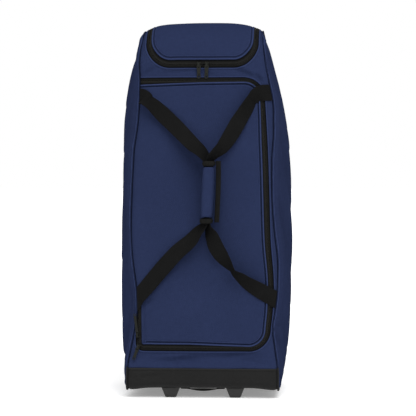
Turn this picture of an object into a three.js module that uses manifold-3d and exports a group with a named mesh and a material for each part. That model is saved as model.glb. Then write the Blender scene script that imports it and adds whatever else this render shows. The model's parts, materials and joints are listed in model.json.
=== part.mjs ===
// A wheeled bat bag: a tall soft holdall that stands on two moulded feet and two wheels.
// Millimetres, +Z up. The front faces -Y, and +X is to the right of someone facing it.
import * as THREE from 'three';
import { mergeVertices } from 'three/addons/utils/BufferGeometryUtils.js';
import Module from 'manifold-3d';

const wasm = await Module();
wasm.setup();

// Shell
const BODY_DEPTH = 320;
const TOP_SEAM = 878;
const WALL = 2;
const GAP = 0.4;
const SEAM_GAP = 0.9;
const CORNER = { frontBottom: 20, frontTop: 90, backTop: 70, backBottom: 30 };
const SIDE_SWELL = 36;
const SIDE_FADE = { topLeft: 4, topRight: 2.6, bottom: 4 };
const CROWN_POWER = 4;
const BACK_DOME_SHARE = 0.2;
const BASE_FRONT_TOP = 73;
const BASE_BACK_TOP = 100;
const TOP_BACK_SEAM = 60;

// The bag at rising heights: half its width along the side seams, how far the front seams pinch in
// from that and sway to the right, and how far the middle of the front stands out past its seams.
const SECTIONS = [
  { z: 24, half: 179, pinch: 0, sway: 0, dome: 0 },
  { z: 75, half: 178, pinch: 0, sway: 0, dome: 4 },
  { z: 125, half: 175, pinch: 4, sway: 0, dome: 8 },
  { z: 170, half: 173, pinch: 9, sway: 2, dome: 11 },
  { z: 210, half: 173, pinch: 9, sway: 8, dome: 13 },
  { z: 255, half: 172, pinch: 5, sway: 10, dome: 14 },
  { z: 330, half: 171, pinch: 0, sway: 7, dome: 16 },
  { z: 400, half: 170, pinch: 1, sway: 1, dome: 17 },
  { z: 470, half: 167, pinch: 1, sway: -1, dome: 17 },
  { z: 590, half: 163, pinch: 1, sway: 1, dome: 16 },
  { z: 650, half: 160, pinch: 1, sway: 7, dome: 14 },
  { z: 700, half: 157, pinch: 0, sway: 9, dome: 12 },
  { z: 750, half: 153, pinch: 1, sway: 5, dome: 11 },
  { z: 800, half: 149, pinch: 1, sway: 0, dome: 13 },
  { z: 878, half: 144, pinch: 0, sway: 0, dome: 18.5 },
];

// Soft hollows in the front, where the cloth sags between two zips and above the base.
const HOLLOWS = [
  { x: 0, z: 771, reach: 150, width: 15, depth: 3.5 },
  { x: 0, z: 95, reach: 170, width: 15, depth: 3.5 },
  { x: -118, z: 672, reach: 34, width: 30, depth: 3 },
  { x: 124, z: 668, reach: 30, width: 34, depth: 3 },
  { x: -112, z: 236, reach: 34, width: 30, depth: 3 },
  { x: 128, z: 214, reach: 34, width: 26, depth: 3 },
];

// Zips: the line down the middle of each one, seen from the front.
const TAPE = { width: 15, recess: 0.3, thickness: 1.4 };
const MAIN_ZIP = { top: 752, bottom: 118, topRadius: 42, bottomRadius: 46, left: -148, leftRadius: 14, leftEnd: 226 };
// The right side of the main zip, from its top corner to its bottom one: it bows out where the strap pulls.
const MAIN_ZIP_RIGHT = [
  { z: 710, x: 141 },
  { z: 590, x: 148 },
  { z: 470, x: 152 },
  { z: 370, x: 155 },
  { z: 280, x: 162 },
  { z: 215, x: 160 },
  { z: 164, x: 155 },
];
const TOP_ZIP = { half: 126, bottom: 789, radius: 50 };

// Webbing and the grip round its middle. Stations: place on the front, distance from the cloth,
// and how far the webbing leans from lying flat, in degrees.
const WEBBING = { width: 38, thickness: 2, seamMargin: 1.5, steps: 72 };
const GRIP = { x: 18, top: 562, bottom: 411, width: 28.5, depth: 48.2, corner: 14, wall: 4.2, lift: 36 };
const BINDING = { height: 14, proud: 0.8, edgeWidth: 11, edgeThickness: 4, edgeCorner: 1.9 };
const LEFT_STRAP = [
  { x: -170, z: 717, lift: 2.2, lean: 0 },
  { x: -146, z: 714, lift: 2.4, lean: 0 },
  { x: -128, z: 705, lift: 3.6, lean: 2 },
  { x: -106, z: 682, lift: 6, lean: 8 },
  { x: -63, z: 639, lift: 15, lean: 16 },
  { x: -21, z: 597, lift: 26, lean: 38 },
  { x: 5, z: 579, lift: 34, lean: 62 },
  { x: 15.8, z: 562, lift: 36, lean: 90 },
  { x: 15.8, z: 550, lift: 36, lean: 90 },
  { x: 15.8, z: 423, lift: 36, lean: 90 },
  { x: 15.8, z: 411, lift: 36, lean: 90 },
  { x: 4, z: 397, lift: 34, lean: 118 },
  { x: -21, z: 380, lift: 27, lean: 142 },
  { x: -56, z: 349, lift: 17, lean: 164 },
  { x: -90, z: 312, lift: 9, lean: 173 },
  { x: -125, z: 272, lift: 3.5, lean: 178 },
  { x: -150, z: 243, lift: 2.4, lean: 180 },
  { x: -170, z: 219, lift: 2.2, lean: 180 },
];
const RIGHT_STRAP = [
  { x: 186, z: 724, lift: 2.2, lean: 0 },
  { x: 160, z: 723, lift: 2.4, lean: 0 },
  { x: 134, z: 720, lift: 3, lean: 0 },
  { x: 111, z: 702, lift: 5, lean: 5 },
  { x: 88, z: 667, lift: 11, lean: 14 },
  { x: 72, z: 629, lift: 19, lean: 24 },
  { x: 52, z: 595, lift: 28, lean: 46 },
  { x: 33, z: 580, lift: 35, lean: 78 },
  { x: 20.2, z: 566, lift: 36, lean: 90 },
  { x: 20.2, z: 550, lift: 36, lean: 90 },
  { x: 20.2, z: 423, lift: 36, lean: 90 },
  { x: 20.2, z: 411, lift: 36, lean: 90 },
  { x: 26, z: 393, lift: 34, lean: 100 },
  { x: 36, z: 371, lift: 28, lean: 146 },
  { x: 49, z: 341, lift: 24, lean: 158 },
  { x: 69, z: 305, lift: 25, lean: 114 },
  { x: 82, z: 295, lift: 22, lean: 150 },
  { x: 108, z: 277, lift: 13, lean: 160 },
  { x: 142, z: 255, lift: 3.5, lean: 176 },
  { x: 168, z: 240, lift: 2.4, lean: 180 },
  { x: 192, z: 226, lift: 2.2, lean: 180 },
];

// Zip sliders: place on the front, how far each is turned from pointing straight down, and its pull's size.
const SLIDERS = [
  { name: 'top_left', x: -7, z: 789, turn: 0, width: 9.5, length: 32 },
  { name: 'top_right', x: 12, z: 789, turn: 3, width: 9.5, length: 32 },
  { name: 'main_upper', x: -152, z: 152, turn: 172, width: 7, length: 50 },
  { name: 'main_lower', x: -151, z: 123, turn: 20, width: 8, length: 32 },
];
const SLIDER = { width: 9, length: 13, thickness: 3, bar: 1.5 };
const BRIDGE = { width: 3, reach: 9, rise: 4.4, sunk: 0.5 };
const PULL = { waist: 0.63, thickness: 1.8, rim: 2.2, eye: 6, hole: 4.4, holeCorner: 2 };

// Hard pieces underneath
const FOOT = { height: 24, x: 77, inset: 38, width: 44, depth: 40, taper: 0.58, corner: 5 };
const WHEEL = { radius: 36, width: 26, tyre: 8, bevel: 3, boss: 31, bossRadius: 11, sides: 32 };
const WHEEL_PLACE = { x: 125, inset: 14 };
const HOUSING = { width: 44, radius: 46, well: 40, wellWidth: 32, wellSides: 48, bottom: 18, behind: 5 };
const AXLE = { radius: 4, bore: 4.4, length: 41, sides: 24 };
const BASE_HANDLE = { halfSpan: 52, sag: 11, width: 25, thickness: 2, inset: 32, steps: 24 };

const HALF_DEPTH = BODY_DEPTH / 2;
const BASE = FOOT.height;
const FAR = 400;

// How finely the cloth is faceted along its seams and across, and how many steps a round corner takes.
const SEAM_STEP = { straight: 22, corner: 14 };
const FRONT_COLUMNS = 8;
const BACK_COLUMNS = 4;
const SIDE_ROWS = 40;
const SIDE_COLUMNS = 6;
const ARC_STEPS = { small: 4, outline: 6, housing: 16 };

const cloth = (color) => new THREE.MeshStandardMaterial({ color, roughness: 0.85, metalness: 0 });
const MATERIALS = {
  navy: cloth(0x2a3350),
  coated: new THREE.MeshStandardMaterial({ color: 0x272727, roughness: 0.55, metalness: 0 }),
  webbing: cloth(0x1c1c1a),
  tape: cloth(0x181818),
  gunmetal: new THREE.MeshStandardMaterial({ color: 0x46463c, roughness: 0.4, metalness: 0.8 }),
  plastic: new THREE.MeshStandardMaterial({ color: 0x161616, roughness: 0.5, metalness: 0 }),
  rubber: new THREE.MeshStandardMaterial({ color: 0x202020, roughness: 0.9, metalness: 0 }),
  steel: new THREE.MeshStandardMaterial({ color: 0x9a9a98, roughness: 0.3, metalness: 1 }),
};

const bag = new THREE.Group();

function place(name, geometry, material, parent = bag) {
  const mesh = new THREE.Mesh(geometry, material);
  mesh.name = name;
  parent.add(mesh);
}

function solidOf(geometry) {
  const bare = geometry.clone();
  bare.deleteAttribute('normal');
  bare.deleteAttribute('uv');
  const merged = mergeVertices(bare, 1e-4);
  const triVerts = Uint32Array.from(merged.index.array);
  const vertProperties = Float32Array.from(merged.attributes.position.array);
  return new wasm.Manifold(new wasm.Mesh({ numProp: 3, vertProperties, triVerts }));
}

function geometryOf(solid) {
  const { vertProperties, triVerts } = solid.getMesh();
  const geometry = new THREE.BufferGeometry();
  geometry.setAttribute('position', new THREE.BufferAttribute(vertProperties, 3));
  geometry.setIndex(new THREE.BufferAttribute(triVerts, 1));
  geometry.computeVertexNormals();
  return geometry;
}

// A closed wall between two grids of points: layer 0 is the outer face and layer 1 the inner one.
function wall(rows, columns, point) {
  const positions = [];
  for (let layer = 0; layer < 2; layer++) {
    for (let i = 0; i < rows; i++) {
      for (let j = 0; j < columns; j++) positions.push(...point(i, j, layer).toArray());
    }
  }
  const id = (i, j, layer) => (layer * rows + i) * columns + j;
  const index = [];
  const quad = (a, b, c, d) => index.push(a, b, c, a, c, d);
  for (let i = 0; i + 1 < rows; i++) {
    for (let j = 0; j + 1 < columns; j++) {
      quad(id(i, j, 0), id(i, j + 1, 0), id(i + 1, j + 1, 0), id(i + 1, j, 0));
      quad(id(i, j, 1), id(i + 1, j, 1), id(i + 1, j + 1, 1), id(i, j + 1, 1));
    }
    const end = columns - 1;
    quad(id(i, 0, 0), id(i + 1, 0, 0), id(i + 1, 0, 1), id(i, 0, 1));
    quad(id(i, end, 0), id(i, end, 1), id(i + 1, end, 1), id(i + 1, end, 0));
  }
  for (let j = 0; j + 1 < columns; j++) {
    const end = rows - 1;
    quad(id(0, j, 0), id(0, j, 1), id(0, j + 1, 1), id(0, j + 1, 0));
    quad(id(end, j, 0), id(end, j + 1, 0), id(end, j + 1, 1), id(end, j, 1));
  }
  const geometry = new THREE.BufferGeometry();
  geometry.setAttribute('position', new THREE.Float32BufferAttribute(positions, 3));
  geometry.setIndex(index);
  geometry.computeVertexNormals();
  return geometry;
}

const extrude = (shape, depth, curveSegments) =>
  new THREE.ExtrudeGeometry(shape, { depth, bevelEnabled: false, curveSegments });

// A front view outline carried through the depth of the bag, from one Y to another.
function frontPrism(shape, from, to) {
  const geometry = extrude(shape, to - from, ARC_STEPS.outline);
  return solidOf(geometry.rotateX(Math.PI / 2).translate(0, to, 0));
}

// A side view outline, drawn in Y and Z, carried across the bag from one X to another.
function sidePrism(shape, from, to) {
  const geometry = extrude(shape, to - from, ARC_STEPS.housing);
  return geometry.rotateX(Math.PI / 2).rotateZ(Math.PI / 2).translate(from, 0, 0);
}

// A box with round corners in plan, its middle raised from the origin by a given amount.
function roundedBox(width, depth, corner, raise = 0) {
  const shape = new THREE.Shape();
  const x = width / 2 - corner;
  const y = depth / 2 - corner;
  shape.absarc(x, raise + y, corner, 0, Math.PI / 2, false);
  shape.absarc(-x, raise + y, corner, Math.PI / 2, Math.PI, false);
  shape.absarc(-x, raise - y, corner, Math.PI, Math.PI * 1.5, false);
  shape.absarc(x, raise - y, corner, Math.PI * 1.5, Math.PI * 2, false);
  return shape;
}

// One column of the sections as a smooth function of height: a cubic through the rows, whose slope
// at each row is that of the line joining its neighbours.
function column(name) {
  const last = SECTIONS.length - 1;
  const slopes = SECTIONS.map((row, i) => {
    const below = SECTIONS[Math.max(i - 1, 0)];
    const above = SECTIONS[Math.min(i + 1, last)];
    return (above[name] - below[name]) / (above.z - below.z);
  });
  return (z) => {
    let i = 0;
    while (i < last - 1 && SECTIONS[i + 1].z < z) i++;
    const a = SECTIONS[i];
    const b = SECTIONS[i + 1];
    const span = b.z - a.z;
    const t = THREE.MathUtils.clamp((z - a.z) / span, 0, 1);
    const rest = 1 - t;
    const held = a[name] * (1 + 2 * t) * rest * rest + b[name] * (1 + 2 * rest) * t * t;
    return held + span * t * rest * (slopes[i] * rest - slopes[i + 1] * t);
  };
}

const halfAt = column('half');
const pinchAt = column('pinch');
const swayAt = column('sway');
const domeAt = column('dome');
const frontHalfAt = (z) => halfAt(z) - pinchAt(z);

// The side view of the seams, drawn in Y and Z: up the front, over the top, down the back and home.
const seam = new THREE.Path();
const frontTopCentre = [-HALF_DEPTH + CORNER.frontTop, TOP_SEAM - CORNER.frontTop];
const backTopCentre = [HALF_DEPTH - CORNER.backTop, TOP_SEAM - CORNER.backTop];
const backBottomCentre = [HALF_DEPTH - CORNER.backBottom, BASE + CORNER.backBottom];
const frontBottomCentre = [-HALF_DEPTH + CORNER.frontBottom, BASE + CORNER.frontBottom];
seam.moveTo(-HALF_DEPTH, frontBottomCentre[1]);
seam.lineTo(-HALF_DEPTH, frontTopCentre[1]);
seam.absarc(...frontTopCentre, CORNER.frontTop, Math.PI, Math.PI / 2, true);
seam.lineTo(backTopCentre[0], TOP_SEAM);
seam.absarc(...backTopCentre, CORNER.backTop, Math.PI / 2, 0, true);
seam.lineTo(HALF_DEPTH, backBottomCentre[1]);
seam.absarc(...backBottomCentre, CORNER.backBottom, 0, -Math.PI / 2, true);
seam.lineTo(frontBottomCentre[0], BASE);
seam.absarc(...frontBottomCentre, CORNER.frontBottom, -Math.PI / 2, -Math.PI, true);

const SEAM_ENDS = seam.getCurveLengths();
const SEAM_LENGTH = seam.getLength();
const [FRONT_END, FRONT_TOP_END, TOP_END, BACK_TOP_END, BACK_END, BACK_BOTTOM_END, BASE_END] = SEAM_ENDS;

function seamAt(s) {
  const u = THREE.MathUtils.euclideanModulo(s, SEAM_LENGTH) / SEAM_LENGTH;
  const at = seam.getPoint(u);
  const along = seam.getTangent(u);
  return { y: at.x, z: at.y, outY: -along.y, outZ: along.x };
}

// Places along the seam from one distance to another: close together round corners only.
function stations(from, to, straightStep, cornerStep) {
  const found = [from];
  let start = 0;
  for (let lap = 0; lap < 2; lap++) {
    seam.curves.forEach((curve, i) => {
      const end = SEAM_ENDS[i] + lap * SEAM_LENGTH;
      const a = Math.max(start, from);
      const b = Math.min(end, to);
      const steps = Math.ceil((b - a) / (curve.isLineCurve ? straightStep : cornerStep));
      for (let k = 1; k <= steps; k++) found.push(a + ((b - a) * k) / steps);
      start = end;
    });
  }
  return found;
}

const frontShare = (y) => 1 - THREE.MathUtils.smoothstep(y, -HALF_DEPTH, frontTopCentre[0]);
const backShare = (y) => THREE.MathUtils.smoothstep(y, backTopCentre[0], HALF_DEPTH);

const crownAt = (across) => Math.max(1 - Math.abs(across) ** CROWN_POWER, 0);

function hollowAt(x, z) {
  return HOLLOWS.reduce((sum, h) => {
    const across = (x - h.x) / h.reach;
    const up = (z - h.z) / h.width;
    return sum + h.depth * Math.exp(-(across ** 4) - up ** 2);
  }, 0);
}

// A point of the cloth that runs from seam to seam: across goes from -1 at the left seam to 1 at the
// right one, and depth is measured inwards from the outer face.
function bandPoint(s, across, depth) {
  const { y, z, outY, outZ } = seamAt(s);
  const front = frontShare(y);
  const x = across * (halfAt(z) - pinchAt(z) * front) + swayAt(z) * front;
  const crown = crownAt(across);
  const dome = domeAt(z) * (1 - (1 - BACK_DOME_SHARE) * backShare(y)) * crown;
  const out = dome - hollowAt(x, z) * front * crown - depth;
  return new THREE.Vector3(x, y + outY * out, z + outZ * out);
}

function bandSkin(from, to, columns, outer, inner) {
  const rows = stations(from, to, SEAM_STEP.straight, SEAM_STEP.corner);
  return wall(rows.length, columns + 1, (i, j, layer) =>
    bandPoint(rows[i], (2 * j) / columns - 1, layer ? inner : outer));
}

// The upright part of the front face, as a place and the directions that lie on it.
function onFront(x, z) {
  const surface = (px, pz) => {
    const across = (px - swayAt(pz)) / frontHalfAt(pz);
    const out = (domeAt(pz) - hollowAt(px, pz)) * crownAt(across);
    return new THREE.Vector3(px, -HALF_DEPTH - out, pz);
  };
  const step = 4;
  const right = surface(x + step, z).sub(surface(x - step, z)).normalize();
  const up = surface(x, z + step).sub(surface(x, z - step));
  const out = right.clone().cross(up).normalize();
  return { at: surface(x, z), right, out, up: out.clone().cross(right) };
}

// Zip outlines, seen from the front and grown outwards from the middle of the zip.
function mainOutline(grow) {
  const { top, bottom, topRadius, bottomRadius, left, leftRadius } = MAIN_ZIP;
  const end = MAIN_ZIP.leftEnd - Math.sign(grow) * GAP;
  const rightSide = MAIN_ZIP_RIGHT.map(({ x, z }) => new THREE.Vector2(x + grow, z));
  const topRight = MAIN_ZIP_RIGHT[0].x;
  const bottomRight = MAIN_ZIP_RIGHT.at(-1).x;
  const shape = new THREE.Shape();
  shape.moveTo(-FAR, top + grow);
  shape.lineTo(topRight - topRadius, top + grow);
  shape.absarc(topRight - topRadius, top - topRadius, topRadius + grow, Math.PI / 2, 0, true);
  shape.splineThru(rightSide.slice(1));
  shape.absarc(bottomRight - bottomRadius, bottom + bottomRadius, bottomRadius + grow, 0, -Math.PI / 2, true);
  shape.lineTo(left + leftRadius, bottom - grow);
  shape.absarc(left + leftRadius, bottom + leftRadius, leftRadius + grow, -Math.PI / 2, -Math.PI, true);
  shape.lineTo(left - grow, end);
  shape.lineTo(-FAR, end);
  return frontPrism(shape, -FAR, 0);
}

function topOutline(grow) {
  const { half, bottom, radius } = TOP_ZIP;
  const shape = new THREE.Shape();
  shape.moveTo(-half - grow, TOP_SEAM + FAR);
  shape.lineTo(-half - grow, bottom + radius);
  shape.absarc(radius - half, bottom + radius, radius + grow, Math.PI, Math.PI * 1.5, false);
  shape.lineTo(half - radius, bottom - grow);
  shape.absarc(half - radius, bottom + radius, radius + grow, -Math.PI / 2, 0, false);
  shape.lineTo(half + grow, TOP_SEAM + FAR);
  return frontPrism(shape, -FAR, FAR);
}

// Front and top: one skin cut along both zips into the frame and its two flaps, and the zips between.
const frontStart = BASE_FRONT_TOP - frontBottomCentre[1] + GAP / 2;
const frontEnd = TOP_END + TOP_BACK_SEAM - GAP / 2;
const CUT = TAPE.width / 2;
const frontSkin = solidOf(bandSkin(frontStart, frontEnd, FRONT_COLUMNS, 0, WALL));
const tapeBack = TAPE.recess + TAPE.thickness;
const tapeSkin = solidOf(bandSkin(frontStart, frontEnd, FRONT_COLUMNS, TAPE.recess, tapeBack));

const zip = (outline) => geometryOf(tapeSkin.intersect(outline(CUT)).subtract(outline(-CUT)));

const frame = frontSkin.subtract(mainOutline(CUT + GAP)).subtract(topOutline(CUT + GAP));
place('front_panel', geometryOf(frame), MATERIALS.navy);
place('main_flap', geometryOf(frontSkin.intersect(mainOutline(-CUT - GAP))), MATERIALS.navy);
place('top_flap', geometryOf(frontSkin.intersect(topOutline(-CUT - GAP))), MATERIALS.navy);
place('main_zip', zip(mainOutline), MATERIALS.tape);
place('top_zip', zip(topOutline), MATERIALS.tape);

// Back panel, from the seam over the top down to the base.
const backStart = TOP_END + TOP_BACK_SEAM + GAP / 2;
const backStop = BACK_TOP_END + backTopCentre[1] - BASE_BACK_TOP;
place('back_panel', bandSkin(backStart, backStop - GAP / 2, BACK_COLUMNS, 0, WALL), MATERIALS.navy);

// Wheel housings: a moulded cup round the top of each wheel, let into the back corner of the base.
const wheelY = HALF_DEPTH - WHEEL_PLACE.inset;

function housingOutline(grow) {
  const radius = HOUSING.radius + grow;
  const bottom = HOUSING.bottom - grow;
  const back = HALF_DEPTH + HOUSING.behind + grow;
  const rearAngle = Math.acos((back - wheelY) / radius);
  const frontAngle = Math.PI - Math.asin((bottom - WHEEL.radius) / radius);
  const shape = new THREE.Shape();
  shape.absarc(wheelY, WHEEL.radius, radius, rearAngle, frontAngle, false);
  shape.lineTo(back, bottom);
  return shape;
}

function rodX(radius, length, sides) {
  return new THREE.CylinderGeometry(radius, radius, length, sides).rotateZ(Math.PI / 2);
}

const wellRod = rodX(HOUSING.well, HOUSING.wellWidth, HOUSING.wellSides);
const well = solidOf(wellRod.translate(0, wheelY, WHEEL.radius));
const axleBore = solidOf(rodX(AXLE.bore, HOUSING.width * 2, AXLE.sides).translate(0, wheelY, WHEEL.radius));
const cup = solidOf(sidePrism(housingOutline(0), -HOUSING.width / 2, HOUSING.width / 2));
const housing = geometryOf(cup.subtract(well).subtract(axleBore));
const pocketHalf = HOUSING.width / 2 + GAP;
const pocket = solidOf(sidePrism(housingOutline(GAP), -pocketHalf, pocketHalf));

// Base: black coated cloth from low on the front, under the bag and up the back.
const baseSkin = solidOf(bandSkin(backStop + GAP / 2, SEAM_LENGTH + frontStart - GAP, BACK_COLUMNS, 0, WALL));
const base = [1, -1].reduce(
  (cloth, side) => cloth.subtract(pocket.translate([side * WHEEL_PLACE.x, 0, 0])),
  baseSkin,
);
place('base_panel', geometryOf(base), MATERIALS.coated);

// Side panels: a patch blended from its four seam runs, swelling out between them.
function sidePanel(side) {
  const edge = (from, to) => (t) => {
    const { y, z } = seamAt(from + (to - from) * t);
    return new THREE.Vector3(side * (halfAt(z) + SEAM_GAP), y, z);
  };
  const frontLow = (BASE_END + SEAM_LENGTH) / 2 - SEAM_LENGTH;
  const frontHigh = (FRONT_END + FRONT_TOP_END) / 2;
  const backHigh = (TOP_END + BACK_TOP_END) / 2;
  const backLow = (BACK_END + BACK_BOTTOM_END) / 2;
  const front = edge(frontLow, frontHigh);
  const back = edge(backLow, backHigh);
  const bottom = edge(SEAM_LENGTH + frontLow, backLow);
  const top = edge(frontHigh, backHigh);
  const topFade = side > 0 ? SIDE_FADE.topRight : SIDE_FADE.topLeft;
  return wall(SIDE_ROWS + 1, SIDE_COLUMNS + 1, (i, j, layer) => {
    const t = i / SIDE_ROWS;
    const v = side > 0 ? j / SIDE_COLUMNS : 1 - j / SIDE_COLUMNS;
    const across = front(t).lerp(back(t), v);
    const upward = bottom(v).lerp(top(v), t);
    const corners = front(0).lerp(back(0), v).lerp(front(1).lerp(back(1), v), t);
    const rise = 2 * t - 1;
    const fade = rise > 0 ? topFade : SIDE_FADE.bottom;
    const swell = (1 - (2 * v - 1) ** 2) * (1 - Math.abs(rise) ** fade);
    const point = across.add(upward).sub(corners);
    point.x += (swayAt(point.z) - side * pinchAt(point.z)) * frontShare(point.y);
    point.x += side * (SIDE_SWELL * swell + (layer ? 0 : WALL));
    return point;
  });
}

place('side_panel_left', sidePanel(-1), MATERIALS.navy);
place('side_panel_right', sidePanel(1), MATERIALS.navy);

// Webbing: a flat section carried along a curve over the front, leaning as it goes.
function ribbon(rows, width, thickness, steps) {
  const points = rows.map(({ x, z, lift }) => {
    const { at, out } = onFront(x, z);
    return at.addScaledVector(out, lift);
  });
  const path = new THREE.CatmullRomCurve3(points, false, 'centripetal');
  const leanAt = (u) => {
    const place = u * (rows.length - 1);
    const i = Math.min(Math.floor(place), rows.length - 2);
    return THREE.MathUtils.lerp(rows[i].lean, rows[i + 1].lean, place - i);
  };
  return wall(steps + 1, 2, (i, j, layer) => {
    const u = i / steps;
    const at = path.getPoint(u);
    const along = path.getTangent(u);
    const out = onFront(at.x, at.z).out;
    const flat = along.clone().cross(out).normalize();
    const lean = THREE.MathUtils.degToRad(leanAt(u));
    const acrossWay = flat.clone().applyAxisAngle(along, -lean);
    const thickWay = acrossWay.clone().cross(along);
    at.addScaledVector(acrossWay, (j - 0.5) * width);
    return at.addScaledVector(thickWay, (0.5 - layer) * thickness);
  });
}

// What lies between the side seams, seen from the front: straps are sewn in and end there.
function betweenSeams(margin) {
  const heights = SECTIONS.map((row) => row.z);
  const seamX = (sign, z) => sign * (frontHalfAt(z) - margin) + swayAt(z);
  const side = (sign) => heights.map((z) => new THREE.Vector2(seamX(sign, z), z));
  return frontPrism(new THREE.Shape([...side(1), ...side(-1).reverse()]), -FAR, 0);
}

function strap(rows) {
  const whole = solidOf(ribbon(rows, WEBBING.width, WEBBING.thickness, WEBBING.steps));
  return geometryOf(whole.intersect(betweenSeams(WEBBING.seamMargin)));
}

place('carry_strap_left', strap(LEFT_STRAP), MATERIALS.webbing);
place('carry_strap_right', strap(RIGHT_STRAP), MATERIALS.webbing);

// Grip: a padded wrap round both straps, bound in black at its ends and along its closing edge.
function gripSleeve(from, to, proud) {
  const { width, depth, corner, wall: pad } = GRIP;
  const shape = roundedBox(width + 2 * proud, depth + 2 * proud, corner + proud);
  shape.holes.push(roundedBox(width - 2 * pad, depth - 2 * pad, corner - pad));
  return extrude(shape, to - from, ARC_STEPS.small).translate(0, 0, from);
}

const grip = new THREE.Group();
const gripMiddle = (GRIP.top + GRIP.bottom) / 2;
grip.position.set(GRIP.x, onFront(GRIP.x, gripMiddle).at.y - GRIP.lift, 0);
bag.add(grip);
const wrapTop = GRIP.top - BINDING.height;
const wrapBottom = GRIP.bottom + BINDING.height;
place('grip_wrap', gripSleeve(wrapBottom + GAP, wrapTop - GAP, 0), MATERIALS.navy, grip);
place('grip_binding_top', gripSleeve(wrapTop, GRIP.top, BINDING.proud), MATERIALS.webbing, grip);
place('grip_binding_bottom', gripSleeve(GRIP.bottom, wrapBottom, BINDING.proud), MATERIALS.webbing, grip);
const edgeShape = roundedBox(BINDING.edgeWidth, BINDING.edgeThickness, BINDING.edgeCorner);
const edgeX = GRIP.width / 2 + BINDING.proud + GAP + BINDING.edgeWidth / 2;
const edge = extrude(edgeShape, GRIP.top - GRIP.bottom, ARC_STEPS.small).translate(edgeX, 0, GRIP.bottom);
place('grip_edge_binding', edge, MATERIALS.webbing, grip);

// Zip sliders and their pulls, each in a group that stands on the front face of the bag.
function sliderBody() {
  const { width, length, thickness, bar } = SLIDER;
  const plan = new THREE.Shape();
  plan.moveTo(-width / 2, length / 2);
  plan.lineTo(-width / 3, -length / 2);
  plan.lineTo(width / 3, -length / 2);
  plan.lineTo(width / 2, length / 2);
  const body = solidOf(extrude(plan, thickness, 1).rotateX(Math.PI / 2));
  const arch = new THREE.Shape();
  const end = BRIDGE.reach / 2;
  const inner = end - bar;
  const outside = -BRIDGE.rise;
  const inside = outside + bar;
  arch.moveTo(BRIDGE.sunk, -end);
  arch.lineTo(inside, -end);
  arch.quadraticCurveTo(outside, -end, outside, -inner);
  arch.lineTo(outside, inner);
  arch.quadraticCurveTo(outside, end, inside, end);
  arch.lineTo(BRIDGE.sunk, end);
  arch.lineTo(BRIDGE.sunk, inner);
  arch.lineTo(inside, inner);
  arch.lineTo(inside, -inner);
  arch.lineTo(BRIDGE.sunk, -inner);
  const bridge = sidePrism(arch, -BRIDGE.width / 2, BRIDGE.width / 2).translate(0, -thickness, 0);
  return geometryOf(body.add(solidOf(bridge)));
}

function pullTab(width, length) {
  const { thickness, rim, eye, hole, holeCorner } = PULL;
  const waist = width * PULL.waist;
  const plan = new THREE.Shape();
  const low = rim - length;
  plan.moveTo(-width / 2, rim - width / 4);
  plan.quadraticCurveTo(-width / 2, rim, -width / 4, rim);
  plan.lineTo(width / 4, rim);
  plan.quadraticCurveTo(width / 2, rim, width / 2, rim - width / 4);
  plan.lineTo(width / 2, -eye);
  plan.quadraticCurveTo(waist / 2, low / 2, width / 2, low + width / 2);
  plan.quadraticCurveTo(width / 2, low, 0, low);
  plan.quadraticCurveTo(-width / 2, low, -width / 2, low + width / 2);
  plan.quadraticCurveTo(-waist / 2, low / 2, -width / 2, -eye);
  const eyeHole = new THREE.Path();
  eyeHole.moveTo(-hole / 2, 0);
  eyeHole.lineTo(-hole / 2, rim - eye);
  eyeHole.lineTo(hole / 2, rim - eye);
  eyeHole.lineTo(hole / 2, 0);
  const endHole = roundedBox(hole, hole, holeCorner, low + width / 2);
  plan.holes.push(eyeHole, endHole);
  return extrude(plan, thickness, ARC_STEPS.small).rotateX(Math.PI / 2);
}

const sliderGeometry = sliderBody();
SLIDERS.forEach(({ name, x, z, turn, width, length }) => {
  const { at, right, out, up } = onFront(x, z);
  const seat = new THREE.Group();
  seat.quaternion.setFromRotationMatrix(new THREE.Matrix4().makeBasis(right, out.clone().negate(), up));
  seat.rotateY(THREE.MathUtils.degToRad(turn));
  seat.position.copy(at).addScaledVector(out, GAP / 4);
  const pull = new THREE.Group();
  pull.position.set(0, -SLIDER.thickness - GAP, SLIDER.bar - BRIDGE.reach / 2 + GAP);
  seat.add(pull);
  bag.add(seat);
  place(`${name}_slider`, sliderGeometry, MATERIALS.gunmetal, seat);
  place(`${name}_pull`, pullTab(width, length), MATERIALS.gunmetal, pull);
});

// Moulded feet under the front edge, tapering to a flat sole.
function foot() {
  const plan = roundedBox(FOOT.width, FOOT.depth, FOOT.corner);
  const geometry = extrude(plan, FOOT.height - GAP, ARC_STEPS.small);
  const at = geometry.attributes.position;
  for (let i = 0; i < at.count; i++) {
    const scale = THREE.MathUtils.lerp(FOOT.taper, 1, at.getZ(i) / FOOT.height);
    at.setXY(i, at.getX(i) * scale, at.getY(i) * scale);
  }
  return geometry;
}

// Wheels: a tyre on a hub that turns about a fixed axle held in the housing.
function turned(profile) {
  const points = profile.map(([radius, x]) => new THREE.Vector2(radius, x));
  return new THREE.LatheGeometry(points, WHEEL.sides).rotateZ(-Math.PI / 2);
}

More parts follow.
